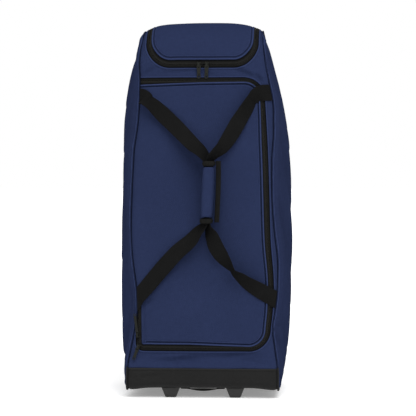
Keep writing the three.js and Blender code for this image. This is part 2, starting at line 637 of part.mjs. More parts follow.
const halfTyre = WHEEL.width / 2;
const seatRadius = WHEEL.radius - WHEEL.tyre;
const tyre = turned([
  [seatRadius, -halfTyre],
  [WHEEL.radius - WHEEL.bevel, -halfTyre],
  [WHEEL.radius, WHEEL.bevel - halfTyre],
  [WHEEL.radius, halfTyre - WHEEL.bevel],
  [WHEEL.radius - WHEEL.bevel, halfTyre],
  [seatRadius, halfTyre],
  [seatRadius, -halfTyre],
]);
const hubRadius = seatRadius - GAP;
const hub = turned([
  [AXLE.bore, -WHEEL.boss / 2],
  [WHEEL.bossRadius, -WHEEL.boss / 2],
  [WHEEL.bossRadius, WHEEL.bevel - halfTyre],
  [hubRadius, WHEEL.bevel - halfTyre],
  [hubRadius, halfTyre - WHEEL.bevel],
  [WHEEL.bossRadius, halfTyre - WHEEL.bevel],
  [WHEEL.bossRadius, WHEEL.boss / 2],
  [AXLE.bore, WHEEL.boss / 2],
  [AXLE.bore, -WHEEL.boss / 2],
]);
const axle = rodX(AXLE.radius, AXLE.length, AXLE.sides);
const footGeometry = foot();

[['left', -1], ['right', 1]].forEach(([name, side]) => {
  const underFront = new THREE.Group();
  underFront.position.set(side * FOOT.x, FOOT.inset - HALF_DEPTH, 0);
  bag.add(underFront);
  place(`foot_${name}`, footGeometry, MATERIALS.plastic, underFront);
  const column = new THREE.Group();
  column.position.x = side * WHEEL_PLACE.x;
  bag.add(column);
  place(`wheel_housing_${name}`, housing, MATERIALS.plastic, column);
  const axis = new THREE.Group();
  axis.position.set(0, wheelY, WHEEL.radius);
  column.add(axis);
  place(`axle_${name}`, axle, MATERIALS.steel, axis);
  place(`wheel_hub_${name}`, hub, MATERIALS.plastic, axis);
  place(`wheel_tyre_${name}`, tyre, MATERIALS.rubber, axis);
});

// Grab handle under the base: a short strap sewn at both ends that hangs a finger's depth.
function baseHandle() {
  const { halfSpan, sag, width, thickness, inset, steps } = BASE_HANDLE;
  return wall(steps + 1, 2, (i, j, layer) => {
    const t = (2 * i) / steps - 1;
    const hang = (1 - t * t) ** 2 * sag;
    const y = inset - HALF_DEPTH + (j - 0.5) * width;
    return new THREE.Vector3(t * halfSpan, y, BASE - GAP - hang - (layer ? 0 : thickness));
  });
}

place('base_handle', baseHandle(), MATERIALS.webbing);

// The floor and the middle of the width stay at zero, and the depth is centred over the origin.
bag.updateMatrixWorld(true);
const middle = new THREE.Box3().setFromObject(bag, true).getCenter(new THREE.Vector3());
bag.position.y = -middle.y;

export default bag;
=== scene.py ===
import json

import bpy
import numpy as np
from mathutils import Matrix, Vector


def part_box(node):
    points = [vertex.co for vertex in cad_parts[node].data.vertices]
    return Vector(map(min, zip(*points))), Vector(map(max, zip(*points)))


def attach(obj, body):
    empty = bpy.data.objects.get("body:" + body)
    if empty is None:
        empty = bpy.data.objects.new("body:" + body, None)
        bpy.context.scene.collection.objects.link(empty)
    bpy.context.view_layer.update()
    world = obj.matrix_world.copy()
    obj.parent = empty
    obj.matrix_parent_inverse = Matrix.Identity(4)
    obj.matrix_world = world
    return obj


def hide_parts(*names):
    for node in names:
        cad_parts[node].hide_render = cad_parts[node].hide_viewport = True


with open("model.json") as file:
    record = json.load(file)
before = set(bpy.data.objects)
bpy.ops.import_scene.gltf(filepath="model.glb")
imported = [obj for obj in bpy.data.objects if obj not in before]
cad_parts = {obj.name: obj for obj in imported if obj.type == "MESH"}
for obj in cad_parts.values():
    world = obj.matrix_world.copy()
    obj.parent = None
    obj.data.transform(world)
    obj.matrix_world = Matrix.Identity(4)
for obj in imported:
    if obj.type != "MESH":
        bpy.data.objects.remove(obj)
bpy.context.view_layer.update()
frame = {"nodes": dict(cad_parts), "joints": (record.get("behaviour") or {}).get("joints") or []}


# The studio: a pale floor under a white surround, with one broad soft light from the front, right and above.
# The camera stands almost level with the middle of the bag and a little to the right of it.
TARGET = Vector((0.014, -0.132, 0.452))
CAMERA = {"distance": 3.6, "azimuth": np.radians(3.5), "elevation": np.radians(0.8)}
IMAGE_WIDTH = 416
PIXEL_AT_TARGET = 0.00236
WHITE = (1.0, 1.0, 1.0, 1.0)
FLOOR = {"reach": 400.0, "colour": (0.93, 0.93, 0.93, 1.0), "roughness": 0.9, "glow": 0.26}
SURROUND = {"seen": 1.0, "lighting": 0.66}
BROAD_LIGHT = {"place": (0.8, -3.2, 4.2), "strength": 2.48, "spread": np.radians(40)}


def node(tree, kind, inputs=None, **settings):
    """A shader node: its settings are set, and each input is set to a value or linked from a socket."""
    made = tree.nodes.new(kind)
    for name, value in settings.items():
        setattr(made, name, value)
    for name, value in (inputs or {}).items():
        if isinstance(value, bpy.types.NodeSocket):
            tree.links.new(value, made.inputs[name])
        else:
            made.inputs[name].default_value = value
    return made


def finish(name, colour, roughness, **constants):
    """A material with its shader's even values set, and the tree and shader to add the rest to."""
    material = bpy.data.materials.new(name)
    material.use_nodes = True
    tree = material.node_tree
    shader = tree.nodes["Principled BSDF"]
    shader.inputs["Base Color"].default_value = colour
    shader.inputs["Roughness"].default_value = roughness
    for label, value in constants.items():
        shader.inputs[label.replace("_", " ")].default_value = value
    return material, tree, shader


def put_in_scene(name, data):
    """An object at the origin that shows a mesh, a light or a camera."""
    made = bpy.data.objects.new(name, data)
    bpy.context.scene.collection.objects.link(made)
    return made


def aim(thing, place):
    """Stand a light or camera at a place, looking at the middle of the bag."""
    thing.location = place
    thing.rotation_mode = "QUATERNION"
    thing.rotation_quaternion = (TARGET - Vector(place)).to_track_quat("-Z", "Y")


def studio():
    """The camera on its sphere about the middle of the bag, the light, the surround and the floor."""
    lens = bpy.data.cameras.new("camera")
    lens.lens = lens.sensor_width * CAMERA["distance"] / (IMAGE_WIDTH * PIXEL_AT_TARGET)
    camera = put_in_scene("camera", lens)
    level = np.cos(CAMERA["elevation"])
    turn = CAMERA["azimuth"]
    back = Vector((np.sin(turn) * level, -np.cos(turn) * level, np.sin(CAMERA["elevation"])))
    aim(camera, TARGET + CAMERA["distance"] * back)
    bpy.context.scene.camera = camera
    bpy.context.scene.view_settings.view_transform = "Standard"

    light = bpy.data.lights.new("broad_light", "SUN")
    light.energy = BROAD_LIGHT["strength"]
    light.angle = BROAD_LIGHT["spread"]
    aim(put_in_scene("broad_light", light), BROAD_LIGHT["place"])

    world = bpy.data.worlds.new("surround")
    bpy.context.scene.world = world
    world.use_nodes = True
    tree = world.node_tree
    tree.nodes.clear()
    path = node(tree, "ShaderNodeLightPath")
    mix = node(tree, "ShaderNodeMixShader", {0: path.outputs["Is Camera Ray"]})
    for place, use in ((1, "lighting"), (2, "seen")):
        glow = node(tree, "ShaderNodeBackground", {"Strength": SURROUND[use], "Color": WHITE})
        tree.links.new(glow.outputs[0], mix.inputs[place])
    node(tree, "ShaderNodeOutputWorld", {"Surface": mix.outputs[0]})

    reach = FLOOR["reach"]
    ground = bpy.data.meshes.new("floor")
    corners = [(-reach, -reach, 0), (reach, -reach, 0), (reach, reach, 0), (-reach, reach, 0)]
    ground.from_pydata(corners, [], [(0, 1, 2, 3)])
    paint, _, _ = finish(
        "floor_paint", FLOOR["colour"], FLOOR["roughness"],
        Specular_IOR_Level=0.0, Emission_Color=WHITE, Emission_Strength=FLOOR["glow"],
    )
    ground.materials.append(paint)
    put_in_scene("floor", ground)


studio()


# The base: black coated cloth folded under the bag, from a strip low on the front to one up the back.
# It is sewn to the navy cloth along both strips and notched at the back corners for the wheel housings.
# Its shape, like that of all the cloth between the side seams, is set by the bag's side view and widths.
def table(columns, rows):
    """Rows of numbers under named columns."""
    return np.array(rows, dtype=[(column, float) for column in columns.split()])


BAG = {"depth": 0.320, "base": 0.024, "top": 0.878}
TURNS = {"front_top": 0.090, "back_top": 0.070, "back_bottom": 0.030, "front_bottom": 0.020}
AXLE_FROM_BACK = 0.014
BACK = frame["joints"][0]["pos_m"][1] + AXLE_FROM_BACK
FRONT = BACK - BAG["depth"]
SECTIONS = table("z half pinch sway dome", [
    (0.024, 0.179, 0.000, 0.000, 0.000), (0.075, 0.178, 0.0003, 0.0003, 0.004),
    (0.125, 0.175, 0.0056, 0.0016, 0.008), (0.170, 0.173, 0.0105, 0.0035, 0.011),
    (0.210, 0.173, 0.0104, 0.0094, 0.013), (0.255, 0.172, 0.0061, 0.0111, 0.014),
    (0.330, 0.171, 0.000, 0.007, 0.016), (0.400, 0.170, 0.001, 0.001, 0.017),
    (0.470, 0.167, 0.001, -0.001, 0.017), (0.560, 0.164, 0.0006, 0.0008, 0.0165),
    (0.590, 0.163, -0.0002, 0.0024, 0.016), (0.620, 0.1615, -0.0007, 0.0058, 0.015),
    (0.650, 0.160, 0.0000, 0.0081, 0.014), (0.700, 0.157, -0.0004, 0.0094, 0.012),
    (0.750, 0.153, 0.001, 0.005, 0.011), (0.800, 0.149, 0.001, 0.000, 0.013),
    (0.878, 0.141, 0.000, 0.000, 0.0185),
])
HOLLOWS = table("x z reach width depth", [
    (0.000, 0.771, 0.150, 0.015, 0.0035), (0.000, 0.097, 0.170, 0.014, 0.0055),
    (-0.118, 0.672, 0.034, 0.030, 0.0030), (0.124, 0.668, 0.030, 0.034, 0.0030),
    (-0.112, 0.236, 0.034, 0.030, 0.0030), (0.128, 0.214, 0.034, 0.026, 0.0030),
])
CROWN_POWER = 4
CORNER_SAG = {"drop": 0.0045, "start": 0.115, "stop": 0.172, "height": 0.05}
FLAT_BACK = 0.8
CELL = 0.003
CLOTH_THICKNESS = 0.0014
SEAM_PULL = {"depth": 0.0026, "reach": 0.006}
BASE_STRIP = {"front_top": 0.073, "back_top": 0.100}
BASE_RIPPLE = {"rise": 0.0006, "size": 0.07, "seed": 3}
NOTCH = {"x": 0.125, "half": 0.0224, "top": 0.0798, "front": 0.0584}
FOLD_COLUMNS = "x s turn long wide rise"
BASE_FOLDS = table(FOLD_COLUMNS, [
    (-0.126, 0.062, 6.0, 0.034, 0.0045, 0.0022), (-0.116, 0.054, 5.0, 0.036, 0.0055, -0.0018),
    (-0.150, 0.050, -38.0, 0.024, 0.0060, 0.0018), (0.146, 0.048, 34.0, 0.026, 0.0070, 0.0016),
    (0.030, 0.046, 0.0, 0.090, 0.0120, -0.0012), (-0.050, 0.040, 3.0, 0.050, 0.0070, 0.0010),
])
# The last column of these profiles is painted light: a painted highlight above 0 and painted shade below 0.
PROFILE_COLUMNS = "inside out fade"
# Its last column paints a highlight on the hem's raised fold and shade in the dips beside it.
BASE_HEM = table(PROFILE_COLUMNS, [
    (-0.0003, -0.0012, -0.3), (0.0000, 0.0006, 0.3), (0.0010, 0.0011, 0.4), (0.0030, 0.0010, 0.2),
    (0.0044, 0.0007, 0.0), (0.0052, -0.0001, -0.45), (0.0060, 0.0003, -0.1), (0.0075, -0.0008, 0.0),
])
BASE_HEM_STATIONS = 140
# How strongly each piece's painted highlight and painted shade change its colour.
PAINTED_LIGHT_SHARE = 0.9

turn_radius = np.array(list(TURNS.values()))
sides = np.array([BAG["top"] - BAG["base"], BAG["depth"]] * 2)
RUN_LENGTHS = np.stack([sides - turn_radius - np.roll(turn_radius, 1), turn_radius * np.pi / 2], 1).ravel()
RUN_BENDS = np.stack([0 * turn_radius, -1 / turn_radius], 1).ravel()
RUN_TURNS = RUN_BENDS * RUN_LENGTHS
RUN_ENDS = np.cumsum(RUN_LENGTHS)
RUN_HEADINGS = np.pi / 2 + np.cumsum(RUN_TURNS) - RUN_TURNS
run_chords = RUN_LENGTHS * np.sinc(RUN_TURNS / 2 / np.pi)
run_means = RUN_HEADINGS + RUN_TURNS / 2
run_steps = run_chords * np.array([np.cos(run_means), np.sin(run_means)])
SEAM_START = BAG["base"] + TURNS["front_bottom"]
RUN_STARTS = np.array([[FRONT], [SEAM_START]]) + np.cumsum(run_steps, axis=1) - run_steps
FRONT_END, FRONT_TOP_END, TOP_END, BACK_TOP_END, BACK_END, BACK_BOTTOM_END, BASE_END, ROUND = RUN_ENDS
DOWN_BACK = BACK_TOP_END + BAG["top"] - TURNS["back_top"]
BASE_START = DOWN_BACK - BASE_STRIP["back_top"]
BASE_STOP = ROUND + BASE_STRIP["front_top"] - SEAM_START


def side_seam(s):
    """The side view of the seams at distance s: up the front, over the top, down the back and home.
    Runs and quarter turns follow each other. A point is its run's start plus the chord covered so far,
    which points along the mean heading. Gives y, z and the outward direction's y and z."""
    s = np.mod(s, ROUND)
    run = np.minimum(np.searchsorted(RUN_ENDS, s, side="right"), len(RUN_ENDS) - 1)
    gone = s - (RUN_ENDS - RUN_LENGTHS)[run]
    turn = RUN_BENDS[run] * gone
    chord = gone * np.sinc(turn / 2 / np.pi)
    mean = RUN_HEADINGS[run] + turn / 2
    heading = RUN_HEADINGS[run] + turn
    y = RUN_STARTS[0, run] + chord * np.cos(mean)
    z = RUN_STARTS[1, run] + chord * np.sin(mean)
    return y, z, -np.sin(heading), np.cos(heading)


def through_rows(heights, values, z):
    """A smooth curve of height through rows of values: a cubic between each two rows, whose slope at a row is
    that of the line joining the rows on either side."""
    order = np.arange(len(heights))
    above, below = np.minimum(order + 1, order[-1]), np.maximum(order - 1, 0)
    slopes = (values[above] - values[below]) / (heights[above] - heights[below])
    i = np.clip(np.searchsorted(heights, z) - 1, 0, order[-2])
    span = heights[i + 1] - heights[i]
    t = np.clip((z - heights[i]) / span, 0, 1)
    rest = 1 - t
    held = values[i] * (1 + 2 * t) * rest**2 + values[i + 1] * (1 + 2 * rest) * t**2
    return held + span * t * rest * (slopes[i] * rest - slopes[i + 1] * t)


def section(column, z):
    """One column of the bag's sections as a smooth curve of height."""
    return through_rows(SECTIONS["z"], SECTIONS[column], z)


def smooth(low, high, value):
    """0 below low, 1 above high and an S of the third degree between them."""
    t = np.clip((value - low) / (high - low), 0, 1)
    return t * t * (3 - 2 * t)


def front_share(y):
    """1 on the front, falling as an S to 0 where the turn over the top ends."""
    return 1 - smooth(FRONT, FRONT + TURNS["front_top"], y)


def seam_span(s):
    """Middle and half width of the cloth between the two side seams at distance s."""
    y, z, _, _ = side_seam(s)
    front = front_share(y)
    return section("sway", z) * front, section("half", z) - section("pinch", z) * front


def hollows(x, z):
    """Soft hollows: each falls off as the fourth power across and the square up, inside an exponential."""
    away = [((x - h["x"]) / h["reach"]) ** 4 + ((z - h["z"]) / h["width"]) ** 2 for h in HOLLOWS]
    return np.sum([depth * np.exp(-far) for depth, far in zip(HOLLOWS["depth"], away)], axis=0)


def corner_sag(x, z):
    """How far the bag's lowest corners hang below its base: an S towards the sides that fades upwards."""
    aside = smooth(CORNER_SAG["start"], CORNER_SAG["stop"], np.abs(x))
    return CORNER_SAG["drop"] * aside * (1 - smooth(BAG["base"], BAG["base"] + CORNER_SAG["height"], z))


def joined(*parts):
    """Coordinates given one by one, spread to one shape and joined as points."""
    return np.stack(np.broadcast_arrays(*parts), axis=-1)


def unit(ways):
    """Directions divided by their own length."""
    return ways / np.linalg.norm(ways, axis=-1, keepdims=True)


def shell(x, s, out=0.0):
    """A point of the cloth between the side seams: the seams' side view, moved outwards by the dome of its
    section, which fades to nothing at the seams, less the hollows, plus a given distance."""
    y, z, out_y, out_z = side_seam(s)
    middle, half = seam_span(s)
    crown = np.clip(1 - np.abs((x - middle) / half) ** CROWN_POWER, 0, 1)
    flat = 1 - FLAT_BACK * smooth(BACK - TURNS["back_top"], BACK, y)
    out = out + crown * (section("dome", z) * flat - hollows(x, z) * front_share(y))
    return joined(x, y + out_y * out, z + out_z * out - corner_sag(x, z))


def shell_normal(x, s, step=0.002):
    """The shell's outward direction: across the slopes of the surface along x and along s."""
    along_x = shell(x + step, s) - shell(x - step, s)
    along_s = shell(x, s + step) - shell(x, s - step)
    return unit(np.cross(along_x, along_s))


def seam_pull(x, s):
    """How far the cloth is drawn in beside the seams: a bell of the distance to the nearer seam."""
    middle, half = seam_span(s)
    return SEAM_PULL["depth"] * np.exp(-(((half - np.abs(x - middle)) / SEAM_PULL["reach"]) ** 2))


def ripple(u, v, rise, size, seed, waves=9):
    """Small even unrest: the mean of sine waves of about one size, in random directions and phases."""
    draw = np.random.default_rng(seed)
    turn, phase = draw.uniform(0, 2 * np.pi, (2, waves))
    rate = 2 * np.pi / size * draw.uniform(0.6, 1.5, waves)
    swing = [np.sin(k * (u * np.cos(a) + v * np.sin(a)) + p) for k, a, p in zip(rate, turn, phase)]
    return rise * (np.mean(swing, axis=0) * np.sqrt(waves / 2))


def folds(u, v, rows):
    """Folds and creases: each is a bell along its length and a narrower one across it, at its own angle."""
    total = 0.0
    for row in rows:
        turn = np.radians(row["turn"])
        along = (u - row["x"]) * np.cos(turn) + (v - row["s"]) * np.sin(turn)
        across = (v - row["s"]) * np.cos(turn) - (u - row["x"]) * np.sin(turn)
        total = total + row["rise"] * np.exp(-((along / row["long"]) ** 2) - (across / row["wide"]) ** 2)
    return total


def base_unrest(x, s):
    """What the base's cloth adds to its shape: slight waves and folds, less the pull of the side seams."""
    return ripple(x, s, **BASE_RIPPLE) - seam_pull(x, s) + folds(x, s - ROUND + SEAM_START, BASE_FOLDS)


def grid(first, second):
    """Two runs of values spread over a grid, the first from row to row."""
    return np.meshgrid(first, second, indexing="ij")


def grid_faces(rows, columns, round_about=False):
    """Four corners for each cell of a grid, the last column joined to the first where it goes round about."""
    index = np.arange(rows * columns).reshape(rows, columns)
    right = np.roll(index, -1, axis=1)
    cells = np.stack([index[:-1], right[:-1], right[1:], index[1:]], axis=-1)
    return (cells if round_about else cells[:, :-1]).reshape(-1, 4)


def chart(start, stop, cell=CELL):
    """Even cells over the cloth from one distance along the seams to another, from seam to seam."""
    rows = int(round((stop - start) / cell)) + 1
    columns = int(round(2 * SECTIONS["half"].mean() / cell)) + 1
    s, across = grid(np.linspace(start, stop, rows), np.linspace(-1, 1, columns))
    middle, half = seam_span(s)
    return middle + across * half, s


def cut_cloth(x, s, inside):
    """Cloth cut along an outline, where inside(x, s) is the distance inside it. Cells whose corners are all
    inside, or nearly, are kept. The corners along the rim of what is kept slide down the distance's slope
    onto the outline, in three steps. Gives the corners' x and s, and the cells."""
    rows, columns = x.shape
    near = (inside(x, s) > -CELL / 2).ravel()
    cells = grid_faces(rows, columns)
    full = np.bincount(cells.ravel(), minlength=x.size)
    cells = cells[near[cells].all(axis=1)]
    kept = np.bincount(cells.ravel(), minlength=x.size)
    rim = (kept > 0) & (kept < full)
    x, s = x.ravel().copy(), s.ravel().copy()
    step = CELL / 10
    least_slope = 0.25
    for _ in range(3):
        away = inside(x[rim], s[rim])
        slope_x = (inside(x[rim] + step, s[rim]) - inside(x[rim] - step, s[rim])) / (2 * step)
        slope_s = (inside(x[rim], s[rim] + step) - inside(x[rim], s[rim] - step)) / (2 * step)
        steep = np.maximum(slope_x**2 + slope_s**2, least_slope)
        x[rim] -= away * slope_x / steep
        s[rim] -= away * slope_s / steep
    used = np.unique(cells)
    place = np.zeros(len(x), int)
    place[used] = np.arange(len(used))
    return x[used], s[used], place[cells]


def piece(name, points, faces, material, flat=None, body="bag", stands_for=(), fade=None):
    """A piece as an object with smooth faces. flat holds each corner's place on the cloth as it was cut, in
    metres, and becomes its UV map. The last argument is each corner's painted highlight above 0, painted
    shade below 0."""
    mesh = bpy.data.meshes.new(name)
    faces = faces.tolist() if isinstance(faces, np.ndarray) else faces
    mesh.from_pydata(np.reshape(points, (-1, 3)), [], faces)
    mesh.polygons.foreach_set("use_smooth", np.ones(len(mesh.polygons), bool))
    if flat is not None:
        corner = np.empty(len(mesh.loops), int)
        mesh.loops.foreach_get("vertex_index", corner)
        mesh.uv_layers.new(name="cut").data.foreach_set("uv", np.reshape(flat, (-1, 2))[corner].ravel())
    if fade is not None:
        shares = np.broadcast_to(fade, np.shape(points)[:-1]).ravel()
        mesh.attributes.new("fade", "FLOAT", "POINT").data.foreach_set("value", shares)
    mesh.materials.append(material)
    mesh.update()
    made = put_in_scene(name, mesh)
    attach(made, body)
    if stands_for:
        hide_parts(*stands_for)
    return made


def thicken(cloth):
    """A sheet's own thickness, laid on its inner side."""
    wall = cloth.modifiers.new("thickness", "SOLIDIFY")
    wall.thickness = CLOTH_THICKNESS
    wall.offset = -1


def linear(red, green, blue):
    """A display colour, from 0 to 255, as the light it stands for."""
    shown = np.array([red, green, blue]) / 255
    light = np.where(shown <= 0.04045, shown / 12.92, ((shown + 0.055) / 1.055) ** 2.4)
    return (*light.tolist(), 1.0)


def math(tree, operation, a, b=0.0):
    """One step of arithmetic between two sockets or values."""
    return node(tree, "ShaderNodeMath", {0: a, 1: b}, operation=operation).outputs[0]


def group(name, inputs, outputs):
    """An empty shader node group with named sockets, and its input and output nodes."""
    tree = bpy.data.node_groups.new(name, "ShaderNodeTree")
    for way, sockets in (("INPUT", inputs), ("OUTPUT", outputs)):
        for label, kind in sockets.items():
            tree.interface.new_socket(label, in_out=way, socket_type=f"NodeSocket{kind}")
    return tree, node(tree, "NodeGroupInput"), node(tree, "NodeGroupOutput")


def mottle_group():
    """Uneven dye and handling: broad and fine noise, mixed to a shade about 1."""
    tree, given, result = group(
        "mottle", {"Place": "Vector", "Size": "Float", "Strength": "Float"}, {"Shade": "Float"}
    )
    finer = 14.0
    rate = math(tree, "DIVIDE", 1.0, given.outputs["Size"])
    rates = {rate: 4.0, math(tree, "MULTIPLY", rate, finer): 2.0}
    noises = [
        node(tree, "ShaderNodeTexNoise", {"Vector": given.outputs["Place"], "Scale": each, "Detail": detail})
        for each, detail in rates.items()
    ]
    total = math(tree, "ADD", noises[0].outputs["Fac"], noises[1].outputs["Fac"])
    swing = math(tree, "MULTIPLY", math(tree, "SUBTRACT", total, 1.0), given.outputs["Strength"])
    tree.links.new(math(tree, "ADD", swing, 1.0), result.inputs["Shade"])
    return tree


MOTTLE = mottle_group()


def mottled(tree, size, strength):
    """The shade of uneven dye in a material, and the place on the object that it is read at."""
    place = node(tree, "ShaderNodeTexCoord").outputs["Object"]
    inputs = {"Place": place, "Size": size, "Strength": strength}
    return node(tree, "ShaderNodeGroup", inputs, node_tree=MOTTLE).outputs["Shade"], place


def tint(tree, shader, colour, shade):
    """The colour times a shade that changes over the surface."""
    scaled = node(tree, "ShaderNodeVectorMath", {0: colour[:3], "Scale": shade}, operation="SCALE")
    tree.links.new(scaled.outputs[0], shader.inputs["Base Color"])


def bump(tree, shader, height, depth, strength):
    """Relief of a given depth in metres from a height that changes over the surface."""
    raised = node(tree, "ShaderNodeBump", {"Height": height, "Distance": depth, "Strength": strength})
    tree.links.new(raised.outputs[0], shader.inputs["Normal"])


def with_painted_light(tree, shade):
    """A shade times the piece's own painted light: a painted highlight above 1 on raised folds and ridges,
    painted shade below 1 in stitched grooves and slits.
    """
    fade = node(tree, "ShaderNodeAttribute", attribute_name="fade").outputs["Fac"]
    return math(tree, "MULTIPLY", shade, math(tree, "ADD", math(tree, "MULTIPLY", fade, PAINTED_LIGHT_SHARE), 1.0))


def coated_finish():
    """Coated cloth: near black, with a fine pebble from a cell pattern, a low even gloss and each piece's
    painted light and shade.
    """
    colour = linear(27, 27, 27)
    roughness = 0.5
    pebbles_a_metre = 900.0
    material, tree, shader = finish("coated_cloth", colour, roughness, Specular_IOR_Level=0.07)
    shade, place = mottled(tree, size=0.09, strength=0.35)
    tint(tree, shader, colour, with_painted_light(tree, shade))
    tree.links.new(math(tree, "MULTIPLY", shade, roughness), shader.inputs["Roughness"])
    pebble = node(tree, "ShaderNodeTexVoronoi", {"Vector": place, "Scale": pebbles_a_metre})
    bump(tree, shader, pebble.outputs["Distance"], depth=0.0003, strength=0.6)
    return material


def notched(x, s):
    """Distance outside the two notches, which are plain rectangles of the unfolded base."""
    start = DOWN_BACK - NOTCH["top"]
    stop = BACK_BOTTOM_END + NOTCH["front"] - TURNS["back_bottom"]
    aside = np.abs(np.abs(x) - NOTCH["x"]) - NOTCH["half"]
    along = np.abs(s - (start + stop) / 2) - (stop - start) / 2
    outside = np.hypot(np.maximum(aside, 0), np.maximum(along, 0))
    return outside + np.minimum(np.maximum(aside, along), 0)


COATED = coated_finish()
base_x, base_s, base_cells = cut_cloth(*chart(BASE_START, BASE_STOP), notched)
base_cloth = piece(
    "base_cloth", shell(base_x, base_s, base_unrest(base_x, base_s)), base_cells, COATED,
    joined(base_x, base_s), stands_for=["base_panel"],
)
thicken(base_cloth)

for name, edge, way in (("base_hem_front", BASE_STOP, -1), ("base_hem_back", BASE_START, 1)):
    share, inside = grid(np.linspace(-1, 1, BASE_HEM_STATIONS), BASE_HEM["inside"])
    s = edge + way * inside
    middle, half = seam_span(s)
    x = middle + share * half
    piece(
        name, shell(x, s, base_unrest(x, s) + BASE_HEM["out"]), grid_faces(*x.shape)[:, ::way], COATED,
        joined(x, s), fade=BASE_HEM["fade"],
    )


# The back: one plain length of navy cloth from the seam across the top down to the base.
# Woven polyester, with a flat close weave, sewn to the gussets along both sides.
NAVY = linear(36, 44, 71)
THREAD_PITCH = 0.0011
SLUB_RATES = {"along": 60.0, "across": 1400.0}
TOP_SEAM_PAST = 0.060
BACK_CELL = 2 * CELL
BACK_RIPPLES = ({"rise": 0.0011, "size": 0.16, "seed": 11}, {"rise": 0.0005, "size": 0.05, "seed": 12})
POLYESTER = {
    "quality": 5, "mass": 0.2, "tension_stiffness": 8.0, "compression_stiffness": 8.0, "shear_stiffness": 3.0,
    "bending_stiffness": 2.0, "use_pressure": True, "vertex_group_mass": "sewn",
}
SETTLING = {"frames": 26, "gravity": 0.6, "broad": 0.07}
SEWN = 0.008


def weave_group():
    """A plain weave on the cloth as cut: the product of two sine waves, one along each thread, gives crowns
    and hollows in turn like squares of a chessboard. Slubs are noise drawn out along each thread."""
    tree, given, result = group(
        "weave", {"Cut": "Vector", "Pitch": "Float", "Slubs": "Float"}, {"Height": "Float", "Shade": "Float"}
    )
    parts = node(tree, "ShaderNodeSeparateXYZ", {0: given.outputs["Cut"]})
    rate = math(tree, "DIVIDE", 2 * np.pi, given.outputs["Pitch"])
    waves = [math(tree, "SINE", math(tree, "MULTIPLY", parts.outputs[i], rate)) for i in (0, 1)]
    tree.links.new(math(tree, "MULTIPLY", *waves), result.inputs["Height"])
    streaks = []
    for first, second in (("across", "along"), ("along", "across")):
        stretch = (SLUB_RATES[first], SLUB_RATES[second], 1.0)
        inputs = {0: given.outputs["Cut"], 1: stretch}
        drawn = node(tree, "ShaderNodeVectorMath", inputs, operation="MULTIPLY").outputs[0]
        streak = node(tree, "ShaderNodeTexNoise", {"Vector": drawn, "Scale": 1.0})
        streaks.append(streak.outputs["Fac"])
    swing = math(tree, "SUBTRACT", math(tree, "ADD", *streaks), 1.0)
    shade = math(tree, "ADD", math(tree, "MULTIPLY", swing, given.outputs["Slubs"]), 1.0)
    tree.links.new(shade, result.inputs["Shade"])
    return tree


WEAVE = weave_group()


def woven_finish(name, colour):
    """Woven polyester: matt, with slubs along the threads, a little uneven dye and each piece's painted light
    and shade.
    """
    material, tree, shader = finish(name, colour, roughness=0.85, Specular_IOR_Level=0.0)
    cut = node(tree, "ShaderNodeUVMap", uv_map="cut").outputs[0]
    inputs = {"Cut": cut, "Pitch": THREAD_PITCH, "Slubs": 0.34}
    weave = node(tree, "ShaderNodeGroup", inputs, node_tree=WEAVE)
    shade, _ = mottled(tree, size=0.11, strength=0.16)
    tint(tree, shader, colour, with_painted_light(tree, math(tree, "MULTIPLY", weave.outputs["Shade"], shade)))
    bump(tree, shader, weave.outputs["Height"], depth=0.00016, strength=0.7)
    return material


def corners_of(mesh):
    """The places of a mesh's corners, one row for each."""
    places = np.empty(3 * len(mesh.vertices))
    mesh.vertices.foreach_get("co", places)
    return places.reshape(-1, 3)


def move_corners(cloth, places):
    """Put a cloth's corners at new places."""
    cloth.data.vertices.foreach_set("co", places.ravel())
    cloth.data.update()


def blurred(field, spacing, reach):
    """A field over a grid, averaged along both of its sides with a bell of the given reach."""
    for axis, step in enumerate(spacing):
        away = np.subtract.outer(np.arange(field.shape[axis]), np.arange(field.shape[axis])) * step
        bell = np.exp(-((away / reach) ** 2))
        bell /= bell.sum(axis=1, keepdims=True)
        field = np.moveaxis(np.tensordot(bell, field, (1, axis)), 0, axis)
    return field


def settle(cloth, sewn, growth, push, most, spacing=None):
    """Cloth cut a little too large for its seams is let go, pushed out by what is inside and drawn down by
    its weight. It buckles into folds. Sewn corners stay, and none moves further than the most given. Where
    the spacing of the cells is given, only the folds are kept, which is what a broad average leaves over."""
    held = cloth.vertex_groups.new(name="sewn")
    held.add(np.flatnonzero(sewn).tolist(), 1.0, "REPLACE")
    soft = cloth.modifiers.new("settling", "CLOTH")
    for label, value in dict(POLYESTER, shrink_min=-growth, uniform_pressure_force=push).items():
        setattr(soft.settings, label, value)
    soft.settings.effector_weights.gravity = SETTLING["gravity"]
    soft.collision_settings.use_collision = False
    soft.point_cache.frame_end = SETTLING["frames"]
    for step in range(1, SETTLING["frames"] + 1):
        bpy.context.scene.frame_set(step)
    settled = corners_of(cloth.evaluated_get(bpy.context.evaluated_depsgraph_get()).data)
    cut = corners_of(cloth.data)
    move = (settled - cut).reshape(*sewn.shape, 3)
    if spacing:
        move = (move - blurred(move, spacing, SETTLING["broad"])) * ~sewn[..., None]
    move = move.reshape(-1, 3)
    far = np.linalg.norm(move, axis=1, keepdims=True)
    cloth.modifiers.remove(soft)
    cloth.vertex_groups.remove(held)
    move_corners(cloth, cut + move * np.minimum(1, most / np.maximum(far, most)))
    bpy.context.scene.frame_set(1)


def refine(cloth):
    """One subdivision, which rounds the folds."""
    finer = cloth.modifiers.new("finer", "SUBSURF")
    finer.levels = finer.render_levels = 1


